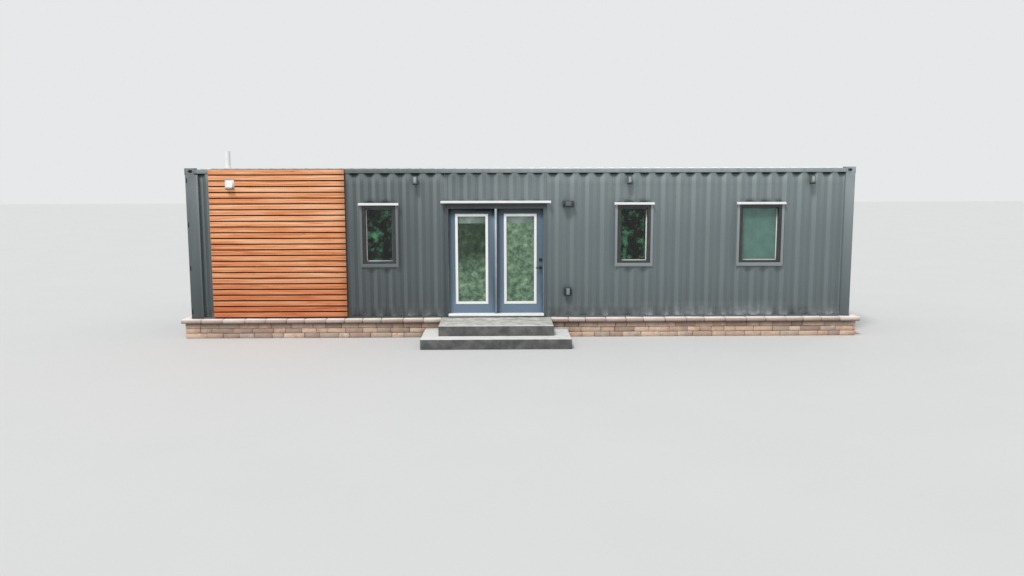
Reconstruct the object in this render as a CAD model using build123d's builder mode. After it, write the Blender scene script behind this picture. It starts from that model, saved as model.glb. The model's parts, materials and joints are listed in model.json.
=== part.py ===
from build123d import *
import os

# Shipping container cabin, in millimetres: +X runs along the long side, the entrance side faces -Y, +Z is up.
# The origin lies on the ground, at the middle of the whole footprint, steps included.
os.makedirs("parts", exist_ok=True)

# Container box and its height above the ground
length = 12192
width = 2438
height = 2896
base_height = 210

# Corner castings, with the three openings of each
casting_length = 178
casting_width = 162
casting_height = 118
casting_wall = 28
casting_inner_wall = 12
slot_from_end = 103.5
slot_from_side = 89.5
top_slot_length = 124
top_slot_width = 63.5
side_slot_length = 79.5
side_slot_height = 51
end_slot_length = 72
slot_corner = 15

# Corner posts, rails and end frames
door_post_length = 230
end_post_length = 178
post_depth = 148
post_wall = 6
post_chamfer = 20
hinge_slot_from_end = 31
hinge_slot_width = 16
hinge_slot_height = 90
top_rail_width = 60
top_rail_height = 70
top_rail_wall = 4
rail_drop = 26
bottom_rail_height = 158
bottom_rail_flange = 48
bottom_rail_wall = 4.5
bottom_rail_lift = 12
end_rail_wall = 5
bottom_end_rail_depth = 100

# Floor
cross_member_height = 122
cross_member_flange = 45
cross_member_wall = 4
cross_member_pitch = 600
floor_thickness = 28
floor_rise = 5

# Corrugated steel: side walls, closed end, roof and cargo doors
sheet = 2
side_setback = 6
side_crest = 72
side_valley = 70
side_slope = 68
side_depth = 36
side_margin = 5
end_setback = 6
end_crest = 110
end_valley = 104
end_slope = 18
end_depth = 45
roof_crest = 91
roof_valley = 91
roof_slope = 13.5
roof_depth = 20
roof_lap = 30
cargo_crest = 120
cargo_valley = 60
cargo_slope = 20
cargo_depth = 30

# Insulated lining of the room
lining = 75
ceiling = 80

# Skirt of stacked blocks with a row of capping stones
course_height = 93
course_count = 3
block_thickness = 90
cap_height = 81
cap_overhang = 60

# Concrete steps at the entrance, set a little to the left of its middle
step_offset = -1
step_rise = 180
upper_step_width = 2012
upper_step_reach = 972
tread_side = 294
tread_front = 303

# Entrance: a fixed leaf on the left and a leaf hung on the middle post
door_from_left = 5622
leaf_thickness = 44
leaf_gap = 5
mullion_width = 28
jamb_width = 51
head_height = 89
threshold_height = 46
threshold_nose = 40
frame_proud = 16
stop_size = 12
lite_width = 608
lite_height = 1674
lite_side = 124
lite_bottom = 158
lite_top = 101
lite_border = 50
lite_bite = 25
lite_proud = 10
lite_pane = 20
handle_backset = 56
lever_height = 833
deadbolt_height = 980
rose_size = 56
rose_thickness = 10
rose_bevel = 4
lever_neck = 42
lever_neck_size = 18
lever_length = 100
lever_section = 20
lever_thickness = 12
deadbolt_size = 34
deadbolt_thickness = 22

# Door hinges: two thirds of each barrel on the middle post, one third on the leaf
hinge_count = 3
hinge_height = 102
hinge_end_distance = 180
hinge_offset = 8
hinge_plate = 2
hinge_plate_width = 38
barrel_radius = 7
pin_radius = 4
pin_clearance = 0.1
knuckle_gap = 0.5

# Windows, each a deep frame with a light sash and one pane
window_bottom = 1360
window_height = 1068
narrow_window = 610
wide_window = 775
first_window_from_left = 3486
middle_window_from_left = 8153
last_window_from_right = 1715
window_face = 58
window_foot = 35
sash_face = 22
sash_depth = 30
sash_setback = 80
window_pane = 8
casing_side = 45
casing_bottom = 65
casing_thickness = 20
window_set_in = 5

# Drip caps over the windows and the entrance
drip_cap_height = 43
drip_cap_reach = 62
drip_cap_fall = 12
window_cap_ear = 60
door_cap_ear = 74

# Timber cladding on battens
clad_from_left = 429
clad_width = 2450
clad_bottom = 385
board_pitch = 103.6
board_count = 26
board_thickness = 21
board_groove = 13
batten_thickness = 19
batten_width = 45
batten_count = 5

# Fixtures on the walls and the roof
first_light_from_left = 4163
middle_light_from_left = 8055
last_light_from_right = 801
downlight_size = 84
downlight_corner = 14
downlight_height = 155
downlight_bottom = 2795
downlight_gap = 14
downlight_neck = 46
downlight_recess = 12
downlight_rim = 6
box_from_frame = 390
wall_light_width = 200
wall_light_height = 120
wall_light_reach = 105
wall_light_bottom = 2381
outlet_width = 130
outlet_height = 160
outlet_reach = 85
outlet_bottom = 750
hood_from_boards = 388
hood_width = 166
hood_height = 194
hood_reach = 85
hood_bottom = 2720
hood_wall = 3
hood_flange = 20
pipe_from_wall = 348
pipe_radius = 48
pipe_wall = 5
pipe_above_roof = 322
pipe_behind_front = 700
boot_size = 240
boot_corner = 30
boot_radius = 68
boot_sides = 8
boot_plate = 4
boot_height = 24
boot_bevel = 14

# Cargo doors of the left end, kept shut
cargo_gap = 6
cargo_frame = 50
cargo_setback = 60
lock_rod_radius = 17
lock_rod_spacing = 420
lock_rod_first = 240
lock_rod_clearance = 0.3
lock_guide_width = 90
lock_guide_height = 60
lock_guide_depth = 12
lock_guides = 4
rod_lever_length = 330
rod_lever_section = 24
rod_lever_above_sill = 1000
rod_lever_step = 120
cargo_hinge_height = 110
cargo_hinge_length = 150
cargo_hinge_thickness = 14
cargo_hinge_spacing = 800
cargo_hinges = 4

# Concrete piers under the container
pier_length = 400
pier_width = 300

# Heights worked out from the sizes above
container_top = base_height + height
rail_top = container_top - rail_drop
rail_bottom = rail_top - top_rail_height
sill_bottom = base_height + bottom_rail_lift
sill_top = sill_bottom + bottom_rail_height
floor_top = sill_top + floor_rise
floor_bottom = floor_top - floor_thickness
ceiling_bottom = rail_top - ceiling
skirt_top = course_count * course_height
cap_top = skirt_top + cap_height
casting_top_base = container_top - casting_height
post_bottom = base_height + casting_height
post_height = casting_top_base - post_bottom
wall_height = rail_bottom - sill_top
lining_height = ceiling_bottom - floor_top

# Distances from the middle of the container
half_length = length / 2
half_width = width / 2
left_end = -half_length
right_end = half_length
cap_reach = block_thickness + cap_overhang
step_reach = upper_step_reach + tread_front
centre_y = (step_reach - cap_reach) / 2
front_y = centre_y - half_width
back_y = centre_y + half_width
crest_y = front_y + side_setback
lining_outer_y = crest_y + side_depth + sheet
lining_inner_y = lining_outer_y + lining
lining_span = 2 * (centre_y - lining_outer_y)
wall_left = left_end + door_post_length
wall_right = right_end - end_post_length
room_left = wall_left + lining
room_right = wall_right - lining
room_length = room_right - room_left
room_middle = (room_left + room_right) / 2
casting_inner = half_length - casting_length
side_pitch = side_crest + side_valley + 2 * side_slope

# Entrance positions
door_centre = left_end + door_from_left
leaf_width = lite_width + 2 * lite_side
leaf_height = lite_bottom + lite_height + lite_top
bay_width = leaf_width + 2 * leaf_gap
frame_inner_width = 2 * bay_width + mullion_width
frame_width = frame_inner_width + 2 * jamb_width
frame_left = door_centre - frame_width / 2
frame_right = door_centre + frame_width / 2
bay_bottom = floor_top + threshold_height
bay_height = leaf_height + 2 * leaf_gap
frame_top = bay_bottom + bay_height + head_height
frame_front_y = front_y - frame_proud
leaf_inner_y = lining_inner_y
leaf_outer_y = leaf_inner_y - leaf_thickness
stop_back_y = leaf_outer_y - leaf_gap
fixed_bay_centre = door_centre - (mullion_width + bay_width) / 2
moving_bay_centre = door_centre + (mullion_width + bay_width) / 2
leaf_bottom = bay_bottom + leaf_gap
hinge_x = moving_bay_centre - bay_width / 2 + leaf_gap / 2
hinge_y = leaf_inner_y + hinge_offset
print("door hinge axis", hinge_x, hinge_y)

# Window positions
middle_window_x = left_end + middle_window_from_left
last_window_x = right_end - last_window_from_right
window_centres = (left_end + first_window_from_left, middle_window_x, last_window_x)
window_widths = (narrow_window, narrow_window, wide_window)


def wall_plane(y):
    """A plane facing the entrance side at the given y: its x is +X and its y is +Z."""
    return Plane.XZ.offset(-y)


def nearest_crest(x):
    """The middle of the outer flat of the side walls that lies nearest to x."""
    first = wall_left + side_margin + side_crest / 2
    return first + round((x - first) / side_pitch) * side_pitch


def fold_line(start, end, first, crest, slope, valley, depth):
    """Points (along, inward) of a folded sheet: crest, slope, valley, slope, again and again from first."""
    pitch = crest + valley + 2 * slope
    steps = ((0, 0), (crest, 0), (crest + slope, depth), (crest + slope + valley, depth))
    count = int((end - first) / pitch) + 1
    corners = [(first + turn * pitch + run, drop) for turn in range(-1, count) for run, drop in steps]
    corners = [(start - 2 * pitch, 0)] + corners + [(end + 2 * pitch, 0)]

    def drop_at(place):
        for (x0, d0), (x1, d1) in zip(corners, corners[1:]):
            if x0 <= place <= x1:
                return d0 + (d1 - d0) * (place - x0) / (x1 - x0)
        return 0

    inner = [(x, drop) for x, drop in corners if start < x < end]
    return [(start, drop_at(start))] + inner + [(end, drop_at(end))]


def sheet_outline(points, face, inward):
    """Closed outline of a folded sheet whose crests lie on face and whose folds go inward (+1 or -1)."""
    near = [(along, face + inward * drop) for along, drop in points]
    far = [(along, face + inward * (drop + sheet)) for along, drop in reversed(points)]
    return near + far


# The holes that the windows leave in the wall and in the lining
with BuildPart() as window_holes:
    with BuildSketch(wall_plane(front_y - casing_thickness)):
        for centre, wide in zip(window_centres, window_widths):
            with Locations((centre, window_bottom + window_height / 2)):
                Rectangle(wide, window_height)
    extrude(amount=-(lining_inner_y - front_y + 2 * casing_thickness))


def side_sheet(start, end, face, inward, bottom, tall):
    """One stretch of side wall, folded in plan and drawn straight up; the front has its windows cut out."""
    first = wall_left + side_margin
    points = fold_line(start, end, first, side_crest, side_slope, side_valley, side_depth)
    with BuildPart() as stretch:
        with BuildSketch(Plane.XY.offset(bottom)):
            with BuildLine():
                Polyline(*sheet_outline(points, face, inward), close=True)
            make_face()
        extrude(amount=tall)
        if inward > 0:
            add(window_holes.part, mode=Mode.SUBTRACT)
    return stretch


def save(name, piece):
    """Label one finished piece and write its file."""
    piece.part.label = name
    export_step(piece.part, "parts/" + name + ".step")


# Concrete piers: four under the castings, two taller ones under the side rails
with BuildPart() as support_piers:
    with BuildSketch():
        for side in (-1, 1):
            with Locations((0, centre_y + side * (half_width - pier_width / 2))):
                with GridLocations(length - pier_length, 1, 2, 1):
                    Rectangle(pier_length, pier_width)
    extrude(amount=base_height)
    with BuildSketch():
        for side in (-1, 1):
            with Locations((0, centre_y + side * (half_width - pier_width / 2))):
                Rectangle(pier_length, pier_width)
    extrude(amount=sill_bottom)
save("support_piers", support_piers)

# Block skirt: the long sides run full length, the front one stops at the steps, the ends fit between
step_centre = door_centre + step_offset
step_left = step_centre - upper_step_width / 2
step_right = step_centre + upper_step_width / 2


def long_strips(reach, tall, base):
    """Front left, front right and back strips that stand against the container and reach out from it."""
    outer = half_length + reach
    spans = ((-outer, step_left, -1), (step_right, outer, -1), (-outer, outer, 1))
    with BuildPart() as strips:
        with BuildSketch(Plane.XY.offset(base)):
            for start, end, side in spans:
                middle_y = centre_y + side * (half_width + reach / 2)
                with Locations(((start + end) / 2, middle_y)):
                    Rectangle(end - start, reach)
        extrude(amount=tall)
    return strips


def end_strips(reach, tall, base):
    """Strips across both ends, between the long ones."""
    with BuildPart() as strips:
        with BuildSketch(Plane.XY.offset(base)):
            with Locations((0, centre_y)):
                with GridLocations(length + reach, 1, 2, 1):
                    Rectangle(reach, width)
        extrude(amount=tall)
    return strips


save("skirt_sides", long_strips(block_thickness, skirt_top, 0))
save("skirt_ends", end_strips(block_thickness, skirt_top, 0))
save("cap_sides", long_strips(cap_reach, cap_height, skirt_top))
save("cap_ends", end_strips(cap_reach, cap_height, skirt_top))

# Concrete steps: both run back between the skirt walls to the side of the container
skirt_face_y = front_y - block_thickness
lower_front_y = front_y - step_reach
with BuildPart() as lower_step:
    with BuildSketch():
        with Locations((step_centre, (skirt_face_y + lower_front_y) / 2)):
            Rectangle(upper_step_width + 2 * tread_side, skirt_face_y - lower_front_y)
        with Locations((step_centre, front_y - block_thickness / 2)):
            Rectangle(upper_step_width, block_thickness)
    extrude(amount=step_rise)
save("lower_step", lower_step)

with BuildPart() as upper_step:
    with BuildSketch(Plane.XY.offset(step_rise)):
        with Locations((step_centre, front_y - upper_step_reach / 2)):
            Rectangle(upper_step_width, upper_step_reach)
    extrude(amount=step_rise)
save("upper_step", upper_step)


# Corner castings: hollow blocks, each with a slot above or below, one opening in its side and one in its end
def castings(base, slot_side):
    """Four castings whose bottoms lie at base; slot_side is +1 for a rounded top slot, -1 for one below."""
    middle = base + casting_height / 2
    with BuildPart() as blocks:
        for x_side in (-1, 1):
            for y_side in (-1, 1):
                x = x_side * (half_length - casting_length / 2)
                y = centre_y + y_side * (half_width - casting_width / 2)
                slot_x = x_side * (half_length - slot_from_end)
                slot_y = centre_y + y_side * (half_width - slot_from_side)
                shift = (casting_wall - casting_inner_wall) / 2
                walls = casting_wall + casting_inner_wall
                with Locations((x, y, middle)):
                    Box(casting_length, casting_width, casting_height)
                with Locations((x - x_side * shift, y - y_side * shift, middle)):
                    Box(casting_length - walls, casting_width - walls, casting_height - 2 * casting_wall,
                        mode=Mode.SUBTRACT)
                with BuildSketch(Plane.XY.offset(middle)) as slot:
                    with Locations((slot_x, slot_y)):
                        if slot_side > 0:
                            SlotOverall(top_slot_length, top_slot_width)
                        else:
                            Rectangle(top_slot_length, top_slot_width)
                            chamfer(slot.vertices(), slot_corner)
                extrude(amount=slot_side * casting_height, mode=Mode.SUBTRACT)
                with BuildSketch(wall_plane(y)) as side_opening:
                    with Locations((slot_x, middle)):
                        Rectangle(side_slot_length, side_slot_height)
                    chamfer(side_opening.vertices(), slot_corner)
                extrude(amount=-y_side * casting_width, mode=Mode.SUBTRACT)
                with BuildSketch(Plane.YZ.offset(x)) as end_opening:
                    with Locations((slot_y, middle)):
                        Rectangle(end_slot_length, side_slot_height)
                    chamfer(end_opening.vertices(), slot_corner)
                extrude(amount=x_side * casting_length, mode=Mode.SUBTRACT)
    return blocks


save("top_castings", castings(casting_top_base, 1))
save("bottom_castings", castings(base_height, -1))

# Corner posts: hollow pressed sections, wider and slotted for the door hinges at the cargo door end
cargo_bottom = sill_top + cargo_gap
cargo_height = casting_top_base - cargo_gap - cargo_bottom
cargo_middle = cargo_bottom + cargo_height / 2
with BuildPart() as corner_posts:
    for x_side, post_length in ((-1, door_post_length), (1, end_post_length)):
        for y_side in (-1, 1):
            x = x_side * (half_length - post_length / 2)
            y = centre_y + y_side * (half_width - post_depth / 2)
            with BuildSketch(Plane.XY.offset(post_bottom)) as section:
                with Locations((x, y)):
                    Rectangle(post_length, post_depth)
                corner = section.vertices().sort_by(lambda v: -x_side * v.X - y_side * v.Y)[0]
                chamfer(corner, post_chamfer)
                offset(amount=-post_wall, kind=Kind.INTERSECTION, mode=Mode.SUBTRACT)
            extrude(amount=post_height)
    for y_side in (-1, 1):
        post_face_y = centre_y + y_side * half_width
        with BuildSketch(wall_plane(post_face_y)):
            with Locations((left_end + hinge_slot_from_end, cargo_middle)):
                with GridLocations(1, cargo_hinge_spacing, 1, cargo_hinges):
                    Rectangle(hinge_slot_width, hinge_slot_height)
        extrude(amount=y_side * 2 * post_wall, mode=Mode.SUBTRACT)
save("corner_posts", corner_posts)

# Top side rails: square tubes between the upper castings
with BuildPart() as top_side_rails:
    with BuildSketch(Plane.YZ.offset(-casting_inner)):
        for side in (-1, 1):
            rail_y = centre_y + side * (half_width - top_rail_width / 2)
            with Locations((rail_y, rail_top - top_rail_height / 2)):
                Rectangle(top_rail_width, top_rail_height)
                inner_width = top_rail_width - 2 * top_rail_wall
                inner_height = top_rail_height - 2 * top_rail_wall
                Rectangle(inner_width, inner_height, mode=Mode.SUBTRACT)
    extrude(amount=2 * casting_inner)
save("top_side_rails", top_side_rails)

# Bottom side rails: channels that open inwards and carry the side walls and the cross members
with BuildPart() as bottom_side_rails:
    with BuildSketch(Plane.YZ.offset(wall_left)):
        for side in (-1, 1):
            web_y = centre_y + side * (half_width - bottom_rail_flange / 2)
            hollow_y = web_y - side * bottom_rail_wall / 2
            middle_z = (sill_bottom + sill_top) / 2
            with Locations((web_y, middle_z)):
                Rectangle(bottom_rail_flange, bottom_rail_height)
            hollow_width = bottom_rail_flange - bottom_rail_wall
            with Locations((hollow_y, middle_z)):
                Rectangle(hollow_width, bottom_rail_height - 2 * bottom_rail_wall, mode=Mode.SUBTRACT)
    extrude(amount=casting_inner - wall_left)
save("bottom_side_rails", bottom_side_rails)

# End rails: a header and a sill tube at each end, between the castings
end_rail_span = width - 2 * casting_width
with BuildPart() as end_rails:
    with BuildSketch(wall_plane(centre_y - end_rail_span / 2)):
        for side in (-1, 1):
            header_x = side * (half_length - casting_length / 2)
            header_height = rail_top + sheet - casting_top_base
            with Locations((header_x, casting_top_base + header_height / 2)):
                Rectangle(casting_length, header_height)
                inner_length = casting_length - 2 * end_rail_wall
                Rectangle(inner_length, header_height - 2 * end_rail_wall, mode=Mode.SUBTRACT)
            with Locations((side * (half_length - bottom_end_rail_depth / 2), (sill_bottom + sill_top) / 2)):
                Rectangle(bottom_end_rail_depth, bottom_rail_height)
                inner_depth = bottom_end_rail_depth - 2 * end_rail_wall
                Rectangle(inner_depth, bottom_rail_height - 2 * end_rail_wall, mode=Mode.SUBTRACT)
    extrude(amount=-end_rail_span)
save("end_rails", end_rails)

# Cross members: channels on edge under the floor, from rail web to rail web
cross_span = width - 2 * bottom_rail_wall
cross_count = int((casting_inner - wall_left - pier_length) / cross_member_pitch) + 1
cross_middle = (casting_inner + wall_left) / 2
with BuildPart() as cross_members:
    with BuildSketch(wall_plane(centre_y - cross_span / 2)):
        with Locations((cross_middle, floor_bottom - cross_member_height / 2)):
            with GridLocations(cross_member_pitch, 1, cross_count, 1):
                Rectangle(cross_member_flange, cross_member_height)
                with Locations((cross_member_wall / 2, 0)):
                    hollow_width = cross_member_flange - cross_member_wall
                    hollow_height = cross_member_height - 2 * cross_member_wall
                    Rectangle(hollow_width, hollow_height, mode=Mode.SUBTRACT)
    extrude(amount=-cross_span)
save("cross_members", cross_members)

# Floor deck: plywood on the cross members, between the rail flanges
with BuildPart() as floor_deck:
    with BuildSketch(Plane.XY.offset(floor_bottom)):
        with Locations(((wall_left + wall_right) / 2, centre_y)):
            Rectangle(wall_right - wall_left, width - 2 * bottom_rail_flange)
    extrude(amount=floor_thickness)
save("floor_deck", floor_deck)

# Front wall: folded sheet left of, over and right of the entrance
front_wall_left = side_sheet(wall_left, frame_left, crest_y, 1, sill_top, wall_height)
save("front_wall_left", front_wall_left)

front_wall_over_door = side_sheet(frame_left, frame_right, crest_y, 1, frame_top, rail_bottom - frame_top)
save("front_wall_over_door", front_wall_over_door)

front_wall_right = side_sheet(frame_right, wall_right, crest_y, 1, sill_top, wall_height)
save("front_wall_right", front_wall_right)

# Back wall: the same folded sheet without openings
back_wall = side_sheet(wall_left, wall_right, back_y - side_setback, -1, sill_top, wall_height)
save("back_wall", back_wall)

# Closed end: broader, deeper folds between the two posts
end_half_span = half_width - post_depth
end_pitch = end_crest + end_valley + 2 * end_slope
end_folds = int((2 * end_half_span - end_crest) / end_pitch)
end_first = -(end_folds * end_pitch + end_crest) / 2
end_points = fold_line(-end_half_span, end_half_span, end_first, end_crest, end_slope, end_valley, end_depth)
end_points = [(centre_y + along, drop) for along, drop in end_points]
with BuildPart() as right_end_wall:
    with BuildSketch(Plane.XY.offset(sill_top)):
        with BuildLine():
            outline = sheet_outline(end_points, half_length - end_setback, -1)
            Polyline(*[(across, along) for along, across in outline], close=True)
        make_face()
    extrude(amount=casting_top_base - sill_top)
save("right_end_wall", right_end_wall)

# Roof: shallow folds across the container, lapped on the top rails, with a hole for the vent pipe
roof_pitch = roof_crest + roof_valley + 2 * roof_slope
roof_folds = int((2 * casting_inner - roof_valley) / roof_pitch)
roof_first = -(roof_folds * roof_pitch + roof_valley) / 2
roof_end = casting_inner
roof_points = fold_line(-roof_end, roof_end, roof_first, roof_valley, roof_slope, roof_crest, roof_depth)
pipe_x = wall_left + pipe_from_wall
pipe_y = front_y + pipe_behind_front
roof_half_width = half_width - top_rail_width + roof_lap
with BuildPart() as roof_panel:
    with BuildSketch(wall_plane(centre_y - roof_half_width)):
        with BuildLine():
            Polyline(*sheet_outline(roof_points, rail_top, 1), close=True)
        make_face()
    extrude(amount=-2 * roof_half_width)
    with BuildSketch(Plane.XY.offset(rail_top - roof_depth)):
        with Locations((pipe_x, pipe_y)):
            Circle(pipe_radius)
    extrude(amount=3 * roof_depth, mode=Mode.SUBTRACT)
save("roof_panel", roof_panel)


# Lining: insulated panels inside the steel, split at the entrance as the wall is
def lining_panel(start, end, bottom, tall):
    """One panel of the front lining with its windows cut through."""
    with BuildPart() as panel:
        with BuildSketch(wall_plane(lining_outer_y)):
            with Locations(((start + end) / 2, bottom + tall / 2)):
                Rectangle(end - start, tall)
        extrude(amount=-lining)
        add(window_holes.part, mode=Mode.SUBTRACT)
    return panel


save("lining_front_left", lining_panel(room_left, frame_left, floor_top, lining_height))
save("lining_over_door", lining_panel(frame_left, frame_right, frame_top, ceiling_bottom - frame_top))
save("lining_front_right", lining_panel(frame_right, room_right, floor_top, lining_height))

with BuildPart() as lining_back:
    with BuildSketch(Plane.XY.offset(floor_top)):
        with Locations((room_middle, centre_y + lining_span / 2 - lining / 2)):
            Rectangle(room_length, lining)
    extrude(amount=lining_height)
save("lining_back", lining_back)

with BuildPart() as lining_ends:
    with BuildSketch(Plane.XY.offset(floor_top)):
        with Locations((room_middle, centre_y)):
            with GridLocations(room_length + lining, 1, 2, 1):
                Rectangle(lining, lining_span)
    extrude(amount=lining_height)
save("lining_ends", lining_ends)

with BuildPart() as ceiling_lining:
    with BuildSketch(Plane.XY.offset(ceiling_bottom)):
        with Locations(((wall_left + wall_right) / 2, centre_y)):
            Rectangle(wall_right - wall_left, width - 2 * top_rail_width)
    extrude(amount=ceiling)
save("ceiling_lining", ceiling_lining)

# Door frame: two jambs, a head and the middle post, with stops in front of the leaves
frame_middle = (floor_top + frame_top) / 2
frame_depth = lining_inner_y - frame_front_y
jamb_foot = bay_bottom - floor_top
with BuildPart() as door_frame:
    with BuildSketch(wall_plane(frame_front_y)):
        with Locations((door_centre, frame_middle)):
            Rectangle(frame_width, frame_top - floor_top)
        for bay_centre in (fixed_bay_centre, moving_bay_centre):
            with Locations((bay_centre, bay_bottom + bay_height / 2)):
                Rectangle(bay_width - 2 * stop_size, bay_height - 2 * stop_size, mode=Mode.SUBTRACT)
            with Locations((bay_centre, bay_bottom + stop_size / 2)):
                Rectangle(bay_width - 2 * stop_size, stop_size, mode=Mode.SUBTRACT)
        with Locations((door_centre, floor_top + jamb_foot / 2)):
            Rectangle(frame_inner_width, jamb_foot, mode=Mode.SUBTRACT)
    extrude(amount=-frame_depth)
    with BuildSketch(wall_plane(stop_back_y)):
        for bay_centre in (fixed_bay_centre, moving_bay_centre):
            with Locations((bay_centre, bay_bottom + bay_height / 2)):
                Rectangle(bay_width, bay_height)
    extrude(amount=-frame_depth, mode=Mode.SUBTRACT)
save("door_frame", door_frame)

# Threshold: between the jambs, with a sloping nose over the upper step
nose_y = frame_front_y - threshold_nose
nose_drop = threshold_height / 2
with BuildPart() as door_threshold:
    with BuildSketch(wall_plane(frame_front_y)):
        with Locations((door_centre, floor_top + threshold_height / 2)):
            Rectangle(frame_inner_width, threshold_height)
    extrude(amount=-frame_depth)
    with BuildSketch(Plane.YZ.offset(door_centre - frame_inner_width / 2)):
        with BuildLine():
            Polyline((frame_front_y, floor_top), (frame_front_y, bay_bottom), (nose_y, floor_top + nose_drop),
                     (nose_y, floor_top), close=True)
        make_face()
    extrude(amount=frame_inner_width)
save("door_threshold", door_threshold)


# Leaves: slabs with a tall glazed opening, its pane and the raised frames that clamp the pane
def leaf_slab(centre, wide, bottom, tall, outer_y):
    """A door slab with the opening for its pane."""
    with BuildPart() as slab:
        with BuildSketch(wall_plane(outer_y)):
            with Locations((centre, bottom + tall / 2)):
                Rectangle(wide, tall)
            with Locations((centre, leaf_bottom + lite_bottom + lite_height / 2)):
                Rectangle(lite_width - 2 * lite_bite, lite_height - 2 * lite_bite, mode=Mode.SUBTRACT)
        extrude(amount=-leaf_thickness)
    return slab


def leaf_pane(centre, outer_y):
    """The sealed pane in the middle of the slab's thickness."""
    with BuildPart() as pane:
        with BuildSketch(wall_plane(outer_y + (leaf_thickness - lite_pane) / 2)):
            with Locations((centre, leaf_bottom + lite_bottom + lite_height / 2)):
                Rectangle(lite_width - 2 * lite_bite, lite_height - 2 * lite_bite)
        extrude(amount=-lite_pane)
    return pane


def lite_frames(centre, outer_y):
    """A raised frame on each face of the slab, with a lip that reaches in to the pane."""
    lip = (leaf_thickness - lite_pane) / 2
    opening_width = lite_width - 2 * lite_border
    opening_height = lite_height - 2 * lite_border
    middle_z = leaf_bottom + lite_bottom + lite_height / 2
    faces = ((outer_y, 1), (outer_y + leaf_thickness, -1))
    with BuildPart() as frames:
        for face_y, outward in faces:
            with BuildSketch(wall_plane(face_y)) as raised:
                with Locations((centre, middle_z)):
                    Rectangle(lite_width, lite_height)
            extrude(amount=outward * lite_proud, taper=30)
            with BuildSketch(wall_plane(face_y)):
                with Locations((centre, middle_z)):
                    Rectangle(lite_width - 2 * lite_bite, lite_height - 2 * lite_bite)
            extrude(amount=-outward * lip)
        with BuildSketch(wall_plane(outer_y - 2 * lite_proud)):
            with Locations((centre, middle_z)):
                Rectangle(opening_width, opening_height)
        extrude(amount=-(leaf_thickness + 4 * lite_proud), mode=Mode.SUBTRACT)
    return frames


fixed_outer_y = stop_back_y
fixed_leaf = leaf_slab(fixed_bay_centre, bay_width, bay_bottom, bay_height, fixed_outer_y)
save("fixed_leaf", fixed_leaf)
save("fixed_leaf_glass", leaf_pane(fixed_bay_centre, fixed_outer_y))
save("fixed_leaf_lite_frame", lite_frames(fixed_bay_centre, fixed_outer_y))
door_leaf = leaf_slab(moving_bay_centre, leaf_width, leaf_bottom, leaf_height, leaf_outer_y)
save("door_leaf", door_leaf)
save("door_leaf_glass", leaf_pane(moving_bay_centre, leaf_outer_y))
save("door_leaf_lite_frame", lite_frames(moving_bay_centre, leaf_outer_y))

# Lever handles and deadbolt, on both faces of the moving leaf
handle_x = moving_bay_centre + leaf_width / 2 - handle_backset
lever_z = leaf_bottom + lever_height
deadbolt_z = leaf_bottom + deadbolt_height
handle_faces = ((leaf_outer_y, 1), (leaf_inner_y, -1))


def rose(face_y, outward, level):
    """A square plate with bevelled edges on one face of the leaf; outward is +1 for the outer face."""
    with BuildPart() as plate:
        with BuildSketch(wall_plane(face_y)):
            with Locations((handle_x, level)):
                Rectangle(rose_size, rose_size)
        extrude(amount=outward * rose_thickness)
        ends = plate.faces().sort_by(Axis.Y)
        front = ends[0] if outward > 0 else ends[-1]
        chamfer(front.edges(), rose_bevel)
    return plate


with BuildPart() as door_lever:
    for face_y, outward in handle_faces:
        add(rose(face_y, outward, lever_z).part)
        with BuildSketch(wall_plane(face_y)):
            with Locations((handle_x, lever_z)):
                Rectangle(lever_neck_size, lever_neck_size)
        extrude(amount=outward * lever_neck)
        with BuildSketch(wall_plane(face_y - outward * lever_neck)) as bar:
            with Locations((handle_x - (lever_length - lever_section) / 2, lever_z)):
                Rectangle(lever_length, lever_section)
            chamfer(bar.vertices(), lever_section / 4)
        extrude(amount=outward * lever_thickness)
save("door_lever", door_lever)

with BuildPart() as door_deadbolt:
    for face_y, outward in handle_faces:
        add(rose(face_y, outward, deadbolt_z).part)
        with BuildSketch(wall_plane(face_y)) as turn:
            with Locations((handle_x, deadbolt_z)):
                Rectangle(deadbolt_size, deadbolt_size)
            chamfer(turn.vertices(), deadbolt_size / 4)
        extrude(amount=outward * deadbolt_thickness)
save("door_deadbolt", door_deadbolt)

# Hinges: knuckles round one pin, with plates in the gap between the leaf and the middle post
hinge_span = leaf_height - 2 * hinge_end_distance
hinge_step = hinge_span / (hinge_count - 1)
hinge_levels = [leaf_bottom + hinge_end_distance + turn * hinge_step for turn in range(hinge_count)]
knuckle_height = hinge_height / 3
plate_reach = barrel_radius + knuckle_gap
plate_middle = leaf_gap / 2 - hinge_plate / 2
plate_joint = barrel_radius - (barrel_radius - pin_radius) / 2


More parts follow.
